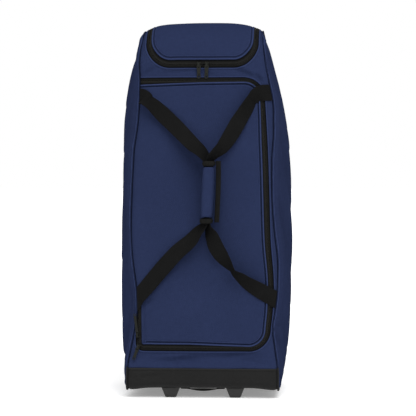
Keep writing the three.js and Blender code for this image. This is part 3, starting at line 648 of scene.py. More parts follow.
NAVY_CLOTH = woven_finish("navy_cloth", NAVY)
back_x, back_s = chart(TOP_END + TOP_SEAM_PAST, BASE_START, BACK_CELL)
back_out = sum(ripple(back_x, back_s, **waves) for waves in BACK_RIPPLES) - seam_pull(back_x, back_s)
back_cloth = piece(
    "back_cloth", shell(back_x, back_s, back_out), grid_faces(*back_x.shape), NAVY_CLOTH,
    joined(back_x, back_s), stands_for=["back_panel"],
)
back_middle, back_half = seam_span(back_s)
back_ends = np.minimum(back_s - back_s.min(), back_s.max() - back_s)
back_rim = np.minimum(back_half - np.abs(back_x - back_middle), back_ends)
settle(back_cloth, back_rim < SEWN, growth=0.016, push=0.5, most=0.005, spacing=(BACK_CELL, BACK_CELL))
refine(back_cloth)
thicken(back_cloth)


# The gussets: one navy panel on each side, sewn all round to the cloth over front, top, back and base.
# Each swells between its seams, puckers along them and carries a narrow welt where its allowance is folded.
LABELS = {-1: "left", 1: "right"}
GUSSET = {"swell": 0.036, "fade_bottom": 4.0, "fade_top": {-1: 4.0, 1: 2.6}, "gap": 0.0016, "area": 0.27}
GUSSET_CELLS = (151, 58)
GUSSET_FOLDS = {
    -1: table(FOLD_COLUMNS, [
        (0.030, 0.262, 78.0, 0.060, 0.007, -0.0018), (0.070, 0.560, 84.0, 0.110, 0.012, -0.0016),
        (0.046, 0.130, 62.0, 0.050, 0.008, -0.0020), (0.200, 0.420, 86.0, 0.140, 0.016, -0.0022),
    ]),
    1: table(FOLD_COLUMNS, [
        (0.022, 0.168, 8.0, 0.022, 0.005, -0.0032), (0.028, 0.184, 14.0, 0.026, 0.006, 0.0022),
        (0.060, 0.480, 88.0, 0.120, 0.012, -0.0016), (0.050, 0.760, 70.0, 0.060, 0.009, -0.0018),
        (0.210, 0.300, 80.0, 0.120, 0.016, -0.0022),
    ]),
}
GUSSET_SPREAD = table("z left right", [
    (0.030, 0.0000, 0.0022), (0.078, -0.0010, 0.0015), (0.104, 0.0040, 0.0010), (0.128, 0.0036, 0.0017),
    (0.152, 0.0026, 0.0024), (0.200, 0.0008, 0.0018), (0.300, -0.0014, 0.0024), (0.410, -0.0006, 0.0050),
    (0.500, 0.0014, 0.0046), (0.590, 0.0043, 0.0088), (0.670, 0.0074, 0.0065), (0.740, 0.0085, 0.0044),
    (0.790, 0.0076, 0.0013), (0.840, -0.0018, -0.0020), (0.862, -0.0008, -0.0062),
])
PUCKER = {"rise": 0.0011, "size": 0.030, "seed": 20, "reach": 0.026, "start": 0.006}
GUSSET_WAVE = {"rise": 0.0014, "size": 0.09, "seed": 30, "start": 0.03, "upwards": 0.5}
# The welt's colour is lightened by a share of 0.45: a painted highlight along its ridge.
WELT = {"inset": 0.0046, "radius": 0.0016, "girth": 0.01, "sides": 10, "fade": 0.45, "up": 240, "over": 90}
OUTLINE_SLANT = {-1: 0.117, 1: 0.0}
ONE_PLACE = 1e-5


def gusset_rim(t, v):
    """Distance on the flat panel to its nearest edge."""
    return np.minimum(np.minimum(v, 1 - v) * BAG["depth"], np.minimum(t, 1 - t) * BAG["top"])


def gusset(side, t, v):
    """A point of a side panel, t upwards and v from front to back. Its edges follow the seams between the
    middles of the turns. The panel is their blend: the line from front to back plus the line from bottom to
    top, less the blend of the four corners, swollen by a square in v times a power in t."""
    front_low, front_high = (BASE_END + ROUND) / 2 - ROUND, (FRONT_END + FRONT_TOP_END) / 2
    back_low, back_high = (BACK_END + BACK_BOTTOM_END) / 2, (TOP_END + BACK_TOP_END) / 2

    def edge(start, stop, share):
        """A place a share of the way along the seam between two distances."""
        y, z, _, _ = side_seam(start + (stop - start) * share)
        return np.stack([side * (section("half", z) + GUSSET["gap"]), y, z])

    def across(share):
        """The straight line from the front edge to the back one at a share of the height."""
        return edge(front_low, front_high, share) * (1 - v) + edge(back_low, back_high, share) * v

    upward = edge(ROUND + front_low, back_low, v) * (1 - t) + edge(front_high, back_high, v) * t
    x, y, z = across(t) + upward - across(0 * t) * (1 - t) - across(0 * t + 1) * t
    rise = 2 * t - 1
    # The power with which the swell dies out towards the top and the bottom: not painted light.
    fade = np.where(rise > 0, GUSSET["fade_top"][side], GUSSET["fade_bottom"])
    spread = through_rows(GUSSET_SPREAD["z"], GUSSET_SPREAD[LABELS[side]], z)
    swell = (1 - (2 * v - 1) ** 2) * (GUSSET["swell"] * (1 - np.abs(rise) ** fade) + spread)
    share = front_share(y)
    x = x + (section("sway", z) - side * section("pinch", z)) * share + side * swell
    inside = gusset_rim(t, v)
    flat_v = v * BAG["depth"]
    pucker = ripple(flat_v, z, PUCKER["rise"], PUCKER["size"], PUCKER["seed"] + side)
    pucker = pucker * np.exp(-inside / PUCKER["reach"]) * smooth(0, PUCKER["start"], inside)
    wave_z = z * GUSSET_WAVE["upwards"]
    wave = ripple(flat_v, wave_z, GUSSET_WAVE["rise"], GUSSET_WAVE["size"], GUSSET_WAVE["seed"] + side)
    wave = wave * smooth(0, GUSSET_WAVE["start"], inside)
    x = x + side * (pucker + wave + folds(flat_v, z, GUSSET_FOLDS[side]))
    return joined(x, y, z - corner_sag(x, z))


def keep_outline(cloth, side, cut, share):
    """Move each row of a settled gusset sideways, by a share of it that is nothing at the seams, so that seen
    from a little to the right of the front its outermost place is as far out as it was cut."""
    settled = corners_of(cloth.data).reshape(cut.shape)
    way = np.array([side, -OUTLINE_SLANT[side], 0])
    lost = (cut @ way).max(axis=1) - (settled @ way).max(axis=1)
    settled[..., 0] += side * lost[:, None] * share
    move_corners(cloth, settled)


def once_round(count):
    """Even angles once round a section."""
    return np.linspace(0, 2 * np.pi, count, endpoint=False)


def run_along(line):
    """Distance along a line of points from its first."""
    return np.concatenate([[0], np.cumsum(np.linalg.norm(np.diff(line, axis=0), axis=1))])


def rod(name, line, run, side, radius, girth, material, fade=None):
    """A round rod along a side seam: a circle spanned by two directions square to the line. run is the
    distance along it and girth the cloth round it."""
    along = unit(np.gradient(line, axis=0))
    first = unit(np.cross(along, np.array([side * 1.0, 0, 0])))[:, None]
    second = np.cross(first, along[:, None])
    angle = once_round(WELT["sides"])[:, None]
    points = line[:, None] + radius * (np.cos(angle) * first + np.sin(angle) * second)
    cut = joined(np.linspace(0, girth, WELT["sides"])[None], run[:, None])
    piece(name, points, grid_faces(*cut.shape[:2], round_about=True), material, cut, fade=fade)


# The gussets' navy is a darker copy of the cloth's: painted shade for the sides, which face away from the
# light.
GUSSET_PAINTED_SHADE = woven_finish("gusset_navy_painted_shade", linear(34, 41, 66))
for side, label in LABELS.items():
    t, v = grid(np.linspace(0, 1, GUSSET_CELLS[0]), np.linspace(0, 1, GUSSET_CELLS[1]))
    gusset_points = gusset(side, t, v)
    gusset_cloth = piece(
        f"gusset_{label}", gusset_points, grid_faces(*GUSSET_CELLS)[:, ::side], GUSSET_PAINTED_SHADE,
        joined(v * BAG["depth"], t * BAG["top"]), stands_for=[f"side_panel_{label}"],
    )
    spacing = (BAG["top"] / GUSSET_CELLS[0], BAG["depth"] / GUSSET_CELLS[1])
    settle(gusset_cloth, gusset_rim(t, v) < SEWN, growth=0.024, push=0.45, most=0.006, spacing=spacing)
    keep_outline(gusset_cloth, side, gusset_points, 1 - (2 * v - 1) ** 2)
    refine(gusset_cloth)
    thicken(gusset_cloth)
    near, far = WELT["inset"] / BAG["top"], WELT["inset"] / BAG["depth"]
    up_run, over_run = np.linspace(near, 1 - near, WELT["up"]), np.linspace(far, 1 - far, WELT["over"])
    loop_t = np.concatenate([up_run, 0 * over_run + 1 - near, up_run[::-1], 0 * over_run + near])
    loop_v = np.concatenate([0 * up_run + far, over_run, 0 * up_run + 1 - far, over_run[::-1]])
    line = gusset(side, loop_t, loop_v)
    line = line[np.r_[True, np.diff(run_along(line)) > ONE_PLACE]]
    line = np.concatenate([line, line[:2]])
    # Each welt carries its painted highlight.
    rod(
        f"gusset_welt_{label}", line, run_along(line), side, WELT["radius"], WELT["girth"], NAVY_CLOTH,
        WELT["fade"],
    )


# The side seams: the folded edges of the cloth lie between gusset and front in a narrow groove, coloured a
# dark navy as painted shade.
# Along the base they are covered by a black piping that stands a little proud.
# The folded edges are the navy cloth darkened: painted shade for the groove.
PAINTED_SEAM_SHADE = woven_finish("seam_painted_shade", linear(16, 20, 34))
SEAM_GIRTH = 0.012
on_seam = {"front": BASE_STRIP["front_top"] - SEAM_START, "back": BASE_START}
SEAMS = {
    "seam_fold": (on_seam["front"], on_seam["back"], 0.0020, -0.0022, PAINTED_SEAM_SHADE, "navy_cloth"),
    "base_piping": (on_seam["back"], on_seam["front"] + ROUND, 0.0025, -0.0006, COATED, "coated_cloth"),
}
for side, label in LABELS.items():
    for name, (start, stop, radius, out, material, slot) in SEAMS.items():
        s = np.arange(start, stop + CELL, CELL)
        middle, half = seam_span(s)
        line = shell(middle + side * (half + GUSSET["gap"] / 2), s, out)
        rod(f"{name}_{label}", line, s, side, radius, SEAM_GIRTH, material)


# The front frame: navy cloth round both openings, with shoulders that run over the top beside the top flap.
# It is cut along both zips, sewn to the gussets and the base, and creased where it is slack between the zips.
ZIP_HALF = 0.0075
MAIN_ZIP = {
    "top": 0.752, "bottom": 0.1205, "radius_top": 0.042, "radius_bottom": 0.046,
    "left": -0.1505, "radius_left": 0.012, "left_end": 0.233, "square": 0.001,
}
MAIN_ZIP_RIGHT = table("z x", [
    (0.1665, 0.155), (0.215, 0.160), (0.280, 0.162), (0.370, 0.155), (0.470, 0.152), (0.590, 0.148),
    (0.710, 0.141),
])
TOP_ZIP = {"half": 0.126, "bottom": 0.789, "radius": 0.052}
FRONT_FOLDS = table(FOLD_COLUMNS, [
    (0.104, 0.767, -23.0, 0.034, 0.0050, -0.0042), (0.110, 0.777, -24.0, 0.030, 0.0045, 0.0026),
    (0.133, 0.758, -55.0, 0.018, 0.0055, -0.0040), (-0.128, 0.772, 24.0, 0.022, 0.0055, -0.0034),
    (-0.060, 0.772, 5.0, 0.045, 0.0050, -0.0022), (0.030, 0.773, -6.0, 0.040, 0.0050, 0.0018),
    (0.078, 0.106, 3.0, 0.034, 0.0040, -0.0052), (-0.076, 0.101, 4.0, 0.050, 0.0045, 0.0040),
    (-0.060, 0.090, 5.0, 0.060, 0.0045, -0.0040), (0.035, 0.092, -4.0, 0.045, 0.0055, 0.0030),
    (0.120, 0.088, -9.0, 0.036, 0.0050, -0.0030), (0.163, 0.300, 86.0, 0.070, 0.0050, 0.0012),
    (0.000, 0.099, 0.0, 0.150, 0.0110, -0.0030), (-0.126, 0.232, 40.0, 0.013, 0.0045, -0.0035),
])
FRONT_PUCKER = {"rise": 0.0009, "size": 0.026, "seed": 41}
FRONT_PUCKER_REACH = 0.02
FRONT_WAVE = {"rise": 0.0009, "size": 0.13, "seed": 42}
DRAWN_OUT = 0.6
FRONT_START = BASE_STRIP["front_top"] - SEAM_START
FRONT_STOP = TOP_END + TOP_SEAM_PAST


def on_front(height):
    """Distance along the seams of a place on the front, whose height is measured up the cloth."""
    return height - SEAM_START


def rounded_box(x, z, low, high, corner):
    """Distance inside a box with rounded corners, each with a radius of its own."""
    centre, half = (np.array(low) + high) / 2, (np.array(high) - low) / 2
    x, z = x - centre[0], z - centre[1]
    radius = np.where(x > 0, np.where(z > 0, corner[1], corner[2]), np.where(z > 0, corner[0], corner[3]))
    past_x, past_z = np.abs(x) - half[0] + radius, np.abs(z) - half[1] + radius
    outside = np.hypot(np.maximum(past_x, 0), np.maximum(past_z, 0))
    return radius - outside - np.minimum(np.maximum(past_x, past_z), 0)


def main_right(height):
    """The main zip's right side, which bows out where the strap pulls on the cloth."""
    return through_rows(MAIN_ZIP_RIGHT["z"], MAIN_ZIP_RIGHT["x"], height)


def in_main(x, s):
    """Distance inside the main zip's line: a rounded box, straightened on its bowed side, joined to a slab
    that runs out to the left seam."""
    height = s + SEAM_START
    right = MAIN_ZIP_RIGHT["x"][-1]
    straight = x - np.where(x > 0, main_right(height) - right, 0)
    low, high = (MAIN_ZIP["left"], MAIN_ZIP["bottom"]), (right, MAIN_ZIP["top"])
    corner = [MAIN_ZIP[place] for place in ("square", "radius_top", "radius_bottom", "radius_left")]
    slab = np.minimum(np.minimum(MAIN_ZIP["top"] - height, height - MAIN_ZIP["left_end"]), -x)
    return np.maximum(rounded_box(straight, height, low, high, corner), slab)


def in_top(x, s):
    """Distance inside the top zip's line: a U that is open over the top."""
    half, radius = TOP_ZIP["half"], TOP_ZIP["radius"]
    low, high = (-half, TOP_ZIP["bottom"]), (half, TOP_ZIP["bottom"] + BAG["top"])
    return rounded_box(x, s + SEAM_START, low, high, (radius,) * 4)


def front_unrest(x, s):
    """What the front's cloth adds to its shape: creases, puckers near the side seams and slight waves."""
    middle, half = seam_span(s)
    edge = half - np.abs(x - middle)
    pucker = ripple(x * DRAWN_OUT, s, **FRONT_PUCKER)
    pucker = pucker * np.exp(-edge / FRONT_PUCKER_REACH) * smooth(0, PUCKER["start"], edge)
    wave = ripple(x, s * DRAWN_OUT, **FRONT_WAVE)
    return folds(x, s + SEAM_START, FRONT_FOLDS) + pucker + wave - seam_pull(x, s)


def front_piece(name, inside, node_name):
    """A piece of the front's cloth, cut where the distance inside its outline is above 0."""
    x, s, cells = cut_cloth(*chart(FRONT_START, FRONT_STOP), inside)
    cloth = piece(
        name, shell(x, s, front_unrest(x, s)), cells, NAVY_CLOTH, joined(x, s),
        stands_for=[node_name],
    )
    thicken(cloth)


def in_frame(x, s):
    """Distance inside the front frame: outside both zips, less half of a zip."""
    return -np.maximum(in_main(x, s), in_top(x, s)) - ZIP_HALF


front_piece("front_frame", in_frame, "front_panel")


# The main flap: one navy panel sewn to the left seam, closed by the zip along its top, right side and bottom.
# The top flap: the same cloth over the top of the front, closed by a U-shaped zip.
# Both edges are turned under and topstitched, which leaves a raised hem with a groove beside it.
# The last column paints a highlight on the raised hem and shade in the stitched groove and at the cut edge.
HEM = table(PROFILE_COLUMNS, [
    (0.0175, -0.0007, 0.0), (0.0163, 0.0003, 0.20), (0.0152, 0.0005, 0.35), (0.0144, -0.0004, -0.1),
    (0.0136, -0.0018, -0.62), (0.0124, -0.0023, -0.68), (0.0114, -0.0016, -0.5), (0.0106, 0.0003, 0.2),
    (0.0096, 0.0013, 0.65), (0.0083, 0.0013, 0.65), (0.0074, 0.0004, 0.2), (0.0070, -0.0015, -0.6),
])
# Here too the last column is a painted highlight on the ridge and painted shade where the edge turns under.
TURNED_EDGE = table(PROFILE_COLUMNS, [
    (-0.0070, -0.0014, -0.5), (-0.0073, 0.0002, 0.1), (-0.0082, 0.0010, 0.35), (-0.0096, 0.0010, 0.3),
    (-0.0112, 0.0003, 0.0), (-0.0120, -0.0003, -0.3), (-0.0130, -0.0007, -0.1),
])
HEM_CUT = 0.0155
MAIN_HEM_OVER = table("angle over", [
    (-180, 0.0), (-140, 0.0), (-126, 0.0010), (-118, 0.0), (-112, -0.0018), (-95, -0.0019), (-80, 0.0012),
    (-70, 0.0028), (-62, 0.0022), (-48, 0.0008), (0, 0.0), (49, 0.0005), (67, 0.0044), (90, 0.0032),
    (115, -0.0015), (180, 0.0),
])
TOP_HEM_OVER = {"start": 0.800, "stop": 0.860, "bottom": -0.0030, "sides": 0.0025}
TOP_HEM_SHARE = 0.7
CREST = {"start": 0.820, "stop": 0.880, "share": 0.6}
HEM_DIES = {"start": -0.148, "stop": -0.128, "below": 0.4, "rest": 0.35}
PATH_STEP = 0.0025
SHORT_OF_SEAM = 0.001
CORNER_LIMIT = 0.92


def main_over(x, height):
    """How far the main flap's edge droops over its zip, by the angle about the middle of the front."""
    angle = np.degrees(np.arctan2(height - BAG["top"] / 2, x))
    return np.interp(angle, MAIN_HEM_OVER["angle"], MAIN_HEM_OVER["over"])


def top_over(x, height):
    """How far the top flap's edge leans over its zip: below 0 along the bottom of the U, where it draws back,
    and an S upwards to the sides."""
    share = smooth(TOP_HEM_OVER["start"], TOP_HEM_OVER["stop"], height) + 0 * x
    return TOP_HEM_OVER["bottom"] + (TOP_HEM_OVER["sides"] - TOP_HEM_OVER["bottom"]) * share


def in_main_flap(x, s):
    """Distance inside the main flap's cloth, which ends under its hem."""
    return in_main(x, s) - HEM_CUT + main_over(x, s + SEAM_START)


def in_top_flap(x, s):
    """Distance inside the top flap's cloth, which ends under its hem."""
    return in_top(x, s) - HEM_CUT + top_over(x, s + SEAM_START)


def arc(x, z, radius, start, stop):
    """Points round part of a circle, between two angles in degrees."""
    angle = np.radians(np.linspace(start, stop, 40))
    return joined(x + radius * np.cos(angle), z + radius * np.sin(angle))


def evenly(line, step):
    """The same line with points an even step apart."""
    run = run_along(line)
    keep = np.r_[True, np.diff(run) > ONE_PLACE]
    even = np.linspace(0, run[-1], max(int(round(run[-1] / step)), 2) + 1)
    return np.stack([np.interp(even, run[keep], line[keep, i]) for i in range(line.shape[1])], -1)


def main_zip_line():
    """The middle of the main zip on the unfolded front: from the left seam along the top, down the right side
    and back along the bottom to its end beside the left seam."""
    z = MAIN_ZIP
    middle, half = seam_span(on_front(z["top"]))
    down = np.linspace(z["top"] - z["radius_top"], z["bottom"] + z["radius_bottom"], 60)
    right = main_right(down)
    parts = [
        [(float(middle - half) + SHORT_OF_SEAM, z["top"])],
        arc(right[0] - z["radius_top"], z["top"] - z["radius_top"], z["radius_top"], 90, 0),
        joined(right, down),
        arc(right[-1] - z["radius_bottom"], z["bottom"] + z["radius_bottom"], z["radius_bottom"], 0, -90),
        arc(z["left"] + z["radius_left"], z["bottom"] + z["radius_left"], z["radius_left"], -90, -180),
        [(z["left"], z["left_end"] + 2 * ZIP_HALF)],
    ]
    return evenly(np.concatenate(parts), PATH_STEP)


def top_zip_line():
    """The middle of the top zip on the unfolded front: down over the right shoulder, round the U and back up
    over the left one."""
    half, bottom, radius = TOP_ZIP["half"], TOP_ZIP["bottom"], TOP_ZIP["radius"]
    far = FRONT_STOP + SEAM_START
    parts = [
        [(half, far)],
        arc(half - radius, bottom + radius, radius, 0, -90),
        arc(radius - half, bottom + radius, radius, -90, -180),
        [(-half, far)],
    ]
    return evenly(np.concatenate(parts), PATH_STEP)


def ribbon_on_front(line, profile, over=0.0, share=1.0):
    """A profile carried along a line on the front. Both zips run clockwise, so the right-hand side of the
    line is inside the flap. A profile point lies its distance to that side, less what the edge droops over,
    and its height off the cloth, which is less over the bag's crest, where the cloth is drawn tight, and
    where its share dies out. In a tight corner the distance stays inside the corner's radius."""
    along = unit(np.gradient(line, axis=0))
    inwards = np.stack([along[:, 1], -along[:, 0]], -1)
    heading = np.unwrap(np.arctan2(along[:, 1], along[:, 0]))
    bend = np.convolve(np.maximum(-np.gradient(heading) / PATH_STEP, 0), np.ones(3) / 3, mode="same")
    aside = profile["inside"][None] - np.reshape(over, (-1, 1))
    aside = np.minimum(aside, CORNER_LIMIT / np.maximum(bend, 1e-6)[:, None])
    flat = line[:, None] + inwards[:, None] * aside[..., None]
    x, s = flat[..., 0], on_front(flat[..., 1])
    middle, half = seam_span(s)
    x = np.clip(x, middle - half, middle + half)
    relief = 1 - CREST["share"] * smooth(CREST["start"], CREST["stop"], line[:, 1:])
    relief = relief * (HEM_DIES["rest"] + (1 - HEM_DIES["rest"]) * np.reshape(share, (-1, 1)))
    return shell(x, s, front_unrest(x, s) + profile["out"][None] * relief), flat


front_piece("main_flap_cloth", in_main_flap, "main_flap")
front_piece("top_flap_cloth", in_top_flap, "top_flap")
MAIN_LINE, TOP_LINE = main_zip_line(), top_zip_line()
MAIN_OVER, TOP_OVER = main_over(*MAIN_LINE.T), top_over(*TOP_LINE.T)
main_hem_share = smooth(HEM_DIES["start"], HEM_DIES["stop"], MAIN_LINE[:, 0])
main_hem_share = np.maximum(main_hem_share, MAIN_LINE[:, 1] > HEM_DIES["below"])
for name, line, profile, over, share in (
    ("main_flap_hem", MAIN_LINE, HEM, MAIN_OVER, main_hem_share),
    ("main_frame_edge", MAIN_LINE, TURNED_EDGE, 0.0, 1.0),
    ("top_flap_hem", TOP_LINE, HEM, TOP_OVER, TOP_HEM_SHARE),
    ("top_frame_edge", TOP_LINE, TURNED_EDGE, 0.0, 1.0),
):
    points, flat = ribbon_on_front(line, profile, over, share)
    fade = profile["fade"] * np.reshape(share, (-1, 1))
    piece(name, points, grid_faces(*points.shape[:2]), NAVY_CLOTH, flat, fade=fade)


# The zips: two black woven tapes that meet edge to edge, sewn under the turned edges of the cloth.
# Their nylon coil lies behind: its loops show in the slit, first from one side and then from the other.
# The last column paints a highlight on each tape's crest beside the slit, and shade in the slit and towards
# the outer edges.
TAPE = table(PROFILE_COLUMNS, [
    (0.0128, -0.0034, -0.6), (0.0078, -0.0018, -0.2), (0.0046, -0.0007, 0.4), (0.0022, 0.0000, 1.1),
    (0.0010, -0.0003, 0.4), (0.0005, -0.0020, -0.6), (-0.0005, -0.0020, -0.6), (-0.0010, -0.0003, 0.0),
    (-0.0022, 0.0000, 0.4), (-0.0046, -0.0007, 0.0), (-0.0070, -0.0018, -0.5), (-0.0098, -0.0030, -0.6),
])
COIL = {"pitch": 0.0021, "half_size": (0.0019, 0.00085, 0.0008), "aside": 0.0006, "out": -0.0019}


def ribbed_finish(name, colour, pitch, across_pitch):
    """Woven tape and webbing: sine ribs run across it, broken by the sine of the threads that bind them. The
    ribs' height also gives a painted highlight on their crowns and painted shade in their hollows, and each
    piece's own painted light and shade is added.
    """
    bind_depth = 0.8
    rib_painted_light = 0.12
    material, tree, shader = finish(name, colour, roughness=0.75, Specular_IOR_Level=0.03)
    cut = node(tree, "ShaderNodeUVMap", uv_map="cut").outputs[0]
    parts = node(tree, "ShaderNodeSeparateXYZ", {0: cut})
    ribs, bind = [
        math(tree, "SINE", math(tree, "MULTIPLY", parts.outputs[i], 2 * np.pi / each))
        for i, each in ((1, pitch), (0, across_pitch))
    ]
    bound = math(tree, "MULTIPLY", math(tree, "MULTIPLY", ribs, bind), bind_depth)
    height = math(tree, "ADD", ribs, bound)
    shade, _ = mottled(tree, size=0.03, strength=0.4)
    # The ribs' height lightens their crowns and darkens their hollows: painted highlight and painted shade.
    shade = math(tree, "ADD", math(tree, "MULTIPLY", height, rib_painted_light), shade)
    tint(tree, shader, colour, with_painted_light(tree, shade))
    bump(tree, shader, height, depth=0.0002, strength=0.8)
    return material


def plain_finish(name, colour, roughness, grain, depth, **constants):
    """Moulded and cast pieces: a fine even grain, and a gloss that changes a little from place to place."""
    material, tree, shader = finish(name, colour, roughness, **constants)
    shade, place = mottled(tree, size=0.02, strength=0.3)
    tint(tree, shader, colour, shade)
    tree.links.new(math(tree, "MULTIPLY", shade, roughness), shader.inputs["Roughness"])
    noise = node(tree, "ShaderNodeTexNoise", {"Vector": place, "Scale": 1 / grain, "Detail": 3.0})
    bump(tree, shader, noise.outputs["Fac"], depth, strength=0.5)
    return material


def bead():
    """A small round-ended bead of unit half size: three rings of six corners between two poles."""
    angle = np.arange(6) * np.pi / 3
    levels = ((-0.72, 0.7), (0.0, 1.0), (0.72, 0.7))
    rings = [joined(along, np.cos(angle) * radius, np.sin(angle) * radius) for along, radius in levels]
    points = np.concatenate([*rings, [[-1, 0, 0], [1, 0, 0]]])
    turn = np.arange(6)
    following = (turn + 1) % 6
    around = [joined(turn + r, turn + r + 6, following + r + 6, following + r) for r in (0, 6)]
    ends = [joined(following, 18, turn), joined(turn + 12, 19, following + 12)]
    return points, np.concatenate(around), np.concatenate(ends)


BEAD_POINTS, BEAD_QUADS, BEAD_ENDS = bead()


def beads(name, centres, ways, half_size, material):
    """Many beads as one mesh: each is the unit bead, stretched by its half sizes and turned to its own three
    directions."""
    stretched = BEAD_POINTS * np.array(half_size)
    points = centres[:, None] + sum(stretched[None, :, i, None] * way[:, None] for i, way in enumerate(ways))
    shift = np.arange(len(centres))[:, None, None] * len(BEAD_POINTS)
    quads, ends = (BEAD_QUADS[None] + shift).reshape(-1, 4), (BEAD_ENDS[None] + shift).reshape(-1, 3)
    piece(name, points, [*quads.tolist(), *ends.tolist()], material)


def front_frames(line, step, out):
    """Places an even step apart along a line on the front, with the ways along, across and off the cloth."""
    line = evenly(line, step)
    x, s = line[:, 0], on_front(line[:, 1])
    centres = shell(x, s, front_unrest(x, s) + out)
    high = shell_normal(x, s)
    along = unit(np.gradient(centres, axis=0))
    return centres, along, unit(np.cross(high, along)), high


ZIP_TAPE = ribbed_finish("zip_tape", linear(20, 20, 19), pitch=0.0012, across_pitch=0.0022)
ZIP_COIL = plain_finish(
    "zip_coil", linear(38, 38, 36), roughness=0.42, grain=0.0006, depth=0.0001, Specular_IOR_Level=0.15
)
for name, line in (("main_zip", MAIN_LINE), ("top_zip", TOP_LINE)):
    points, _ = ribbon_on_front(line, TAPE)
    cut = joined(TAPE["inside"][None], np.arange(len(line))[:, None] * PATH_STEP)
    cells = grid_faces(*points.shape[:2])
    piece(f"{name}_tape", points, cells, ZIP_TAPE, cut, stands_for=[name], fade=TAPE["fade"])
    centres, along, across, high = front_frames(line, COIL["pitch"], COIL["out"])
    other = np.where(np.arange(len(centres)) % 2, 1, -1)[:, None]
    centres = centres + across * other * COIL["aside"]
    beads(f"{name}_coil", centres, (across, along, high), COIL["half_size"], ZIP_COIL)


# The sliders and their pulls: cast metal with a dark satin finish, two on each zip.
# They are the frame's own pieces. Short round ribs are added across the lower part of each pull.
GUNMETAL = plain_finish(
    "gunmetal", linear(35, 36, 33), roughness=0.42, grain=0.0015, depth=0.0002,
    Metallic=0.75, Specular_IOR_Level=0.2,
)
PULLS = dict(zip(
    ("top_left", "top_right", "main_upper", "main_lower"),
    table("x z turn width length", [
        (-0.007, 0.789, 0, 0.0095, 0.032), (0.012, 0.789, 3, 0.0095, 0.032),
        (-0.152, 0.152, 172, 0.0070, 0.050), (-0.151, 0.123, 20, 0.0080, 0.032),
    ]),
))
RIB = {"pitch": 0.0026, "first": 0.014, "last": 0.007, "out": 0.0052}
RIB_SIZE = {"share": 0.27, "half": 0.0007, "rise": 0.0006}
for name, pull in PULLS.items():
    for kind in ("slider", "pull"):
        frame["nodes"][f"{name}_{kind}"].material_slots[0].material = GUNMETAL
    turn = np.radians(pull["turn"])
    down = np.arange(RIB["first"], pull["length"] - RIB["last"], RIB["pitch"])
    x, s = pull["x"] - np.sin(turn) * down, on_front(pull["z"] - np.cos(turn) * down)
    high = shell_normal(x, s)
    along = unit(np.gradient(shell(x, s), axis=0))
    rib_size = (RIB_SIZE["share"] * pull["width"], RIB_SIZE["half"], RIB_SIZE["rise"])
    ways = (unit(np.cross(high, along)), along, high)
    beads(f"{name}_ribs", shell(x, s, RIB["out"]), ways, rib_size, GUNMETAL)


# The topstitching: navy thread along the hems and turned edges beside the zips, and black thread along the
# base's hem. Each stitch is a short thread that dips at both of its ends.
STITCH = {"pitch": 0.0034, "half_size": (0.0013, 0.00036, 0.0003)}
HEM_ROW = {"inside": 0.0124, "out": -0.0018}
EDGE_ROW = {"inside": -0.0119, "out": 0.0002}
BASE_ROW = {"half": 0.168, "inset": 0.0052, "points": 200}
NAVY_THREAD, BLACK_THREAD = [
    plain_finish(name, colour, roughness=0.6, grain=0.0004, depth=0.0001, Specular_IOR_Level=0.1)
    for name, colour in (("navy_thread", linear(34, 42, 68)), ("black_thread", linear(34, 34, 33)))
]
SEWING = {
    "main_hem_stitches": (MAIN_LINE, HEM_ROW, MAIN_OVER),
    "main_edge_stitches": (MAIN_LINE, EDGE_ROW, 0.0),
    "top_hem_stitches": (TOP_LINE, HEM_ROW, TOP_OVER),
    "top_edge_stitches": (TOP_LINE, EDGE_ROW, 0.0),
}
row_height = BASE_STRIP["front_top"] - BASE_ROW["inset"]
base_row = joined(np.linspace(-BASE_ROW["half"], BASE_ROW["half"], BASE_ROW["points"]), row_height)
centres, *ways = front_frames(base_row, STITCH["pitch"], 0.0)
centres = centres + ways[-1] * folds(centres[:, 0], row_height, BASE_FOLDS)[:, None]
beads("base_hem_stitches", centres, ways, STITCH["half_size"], BLACK_THREAD)
for name, (line, row, over) in SEWING.items():
    _, flat = ribbon_on_front(line, table(PROFILE_COLUMNS, [(row["inside"], row["out"], 0.0)]), over)
    centres, *ways = front_frames(flat[:, 0], STITCH["pitch"], row["out"])
    beads(name, centres, ways, STITCH["half_size"], NAVY_THREAD)


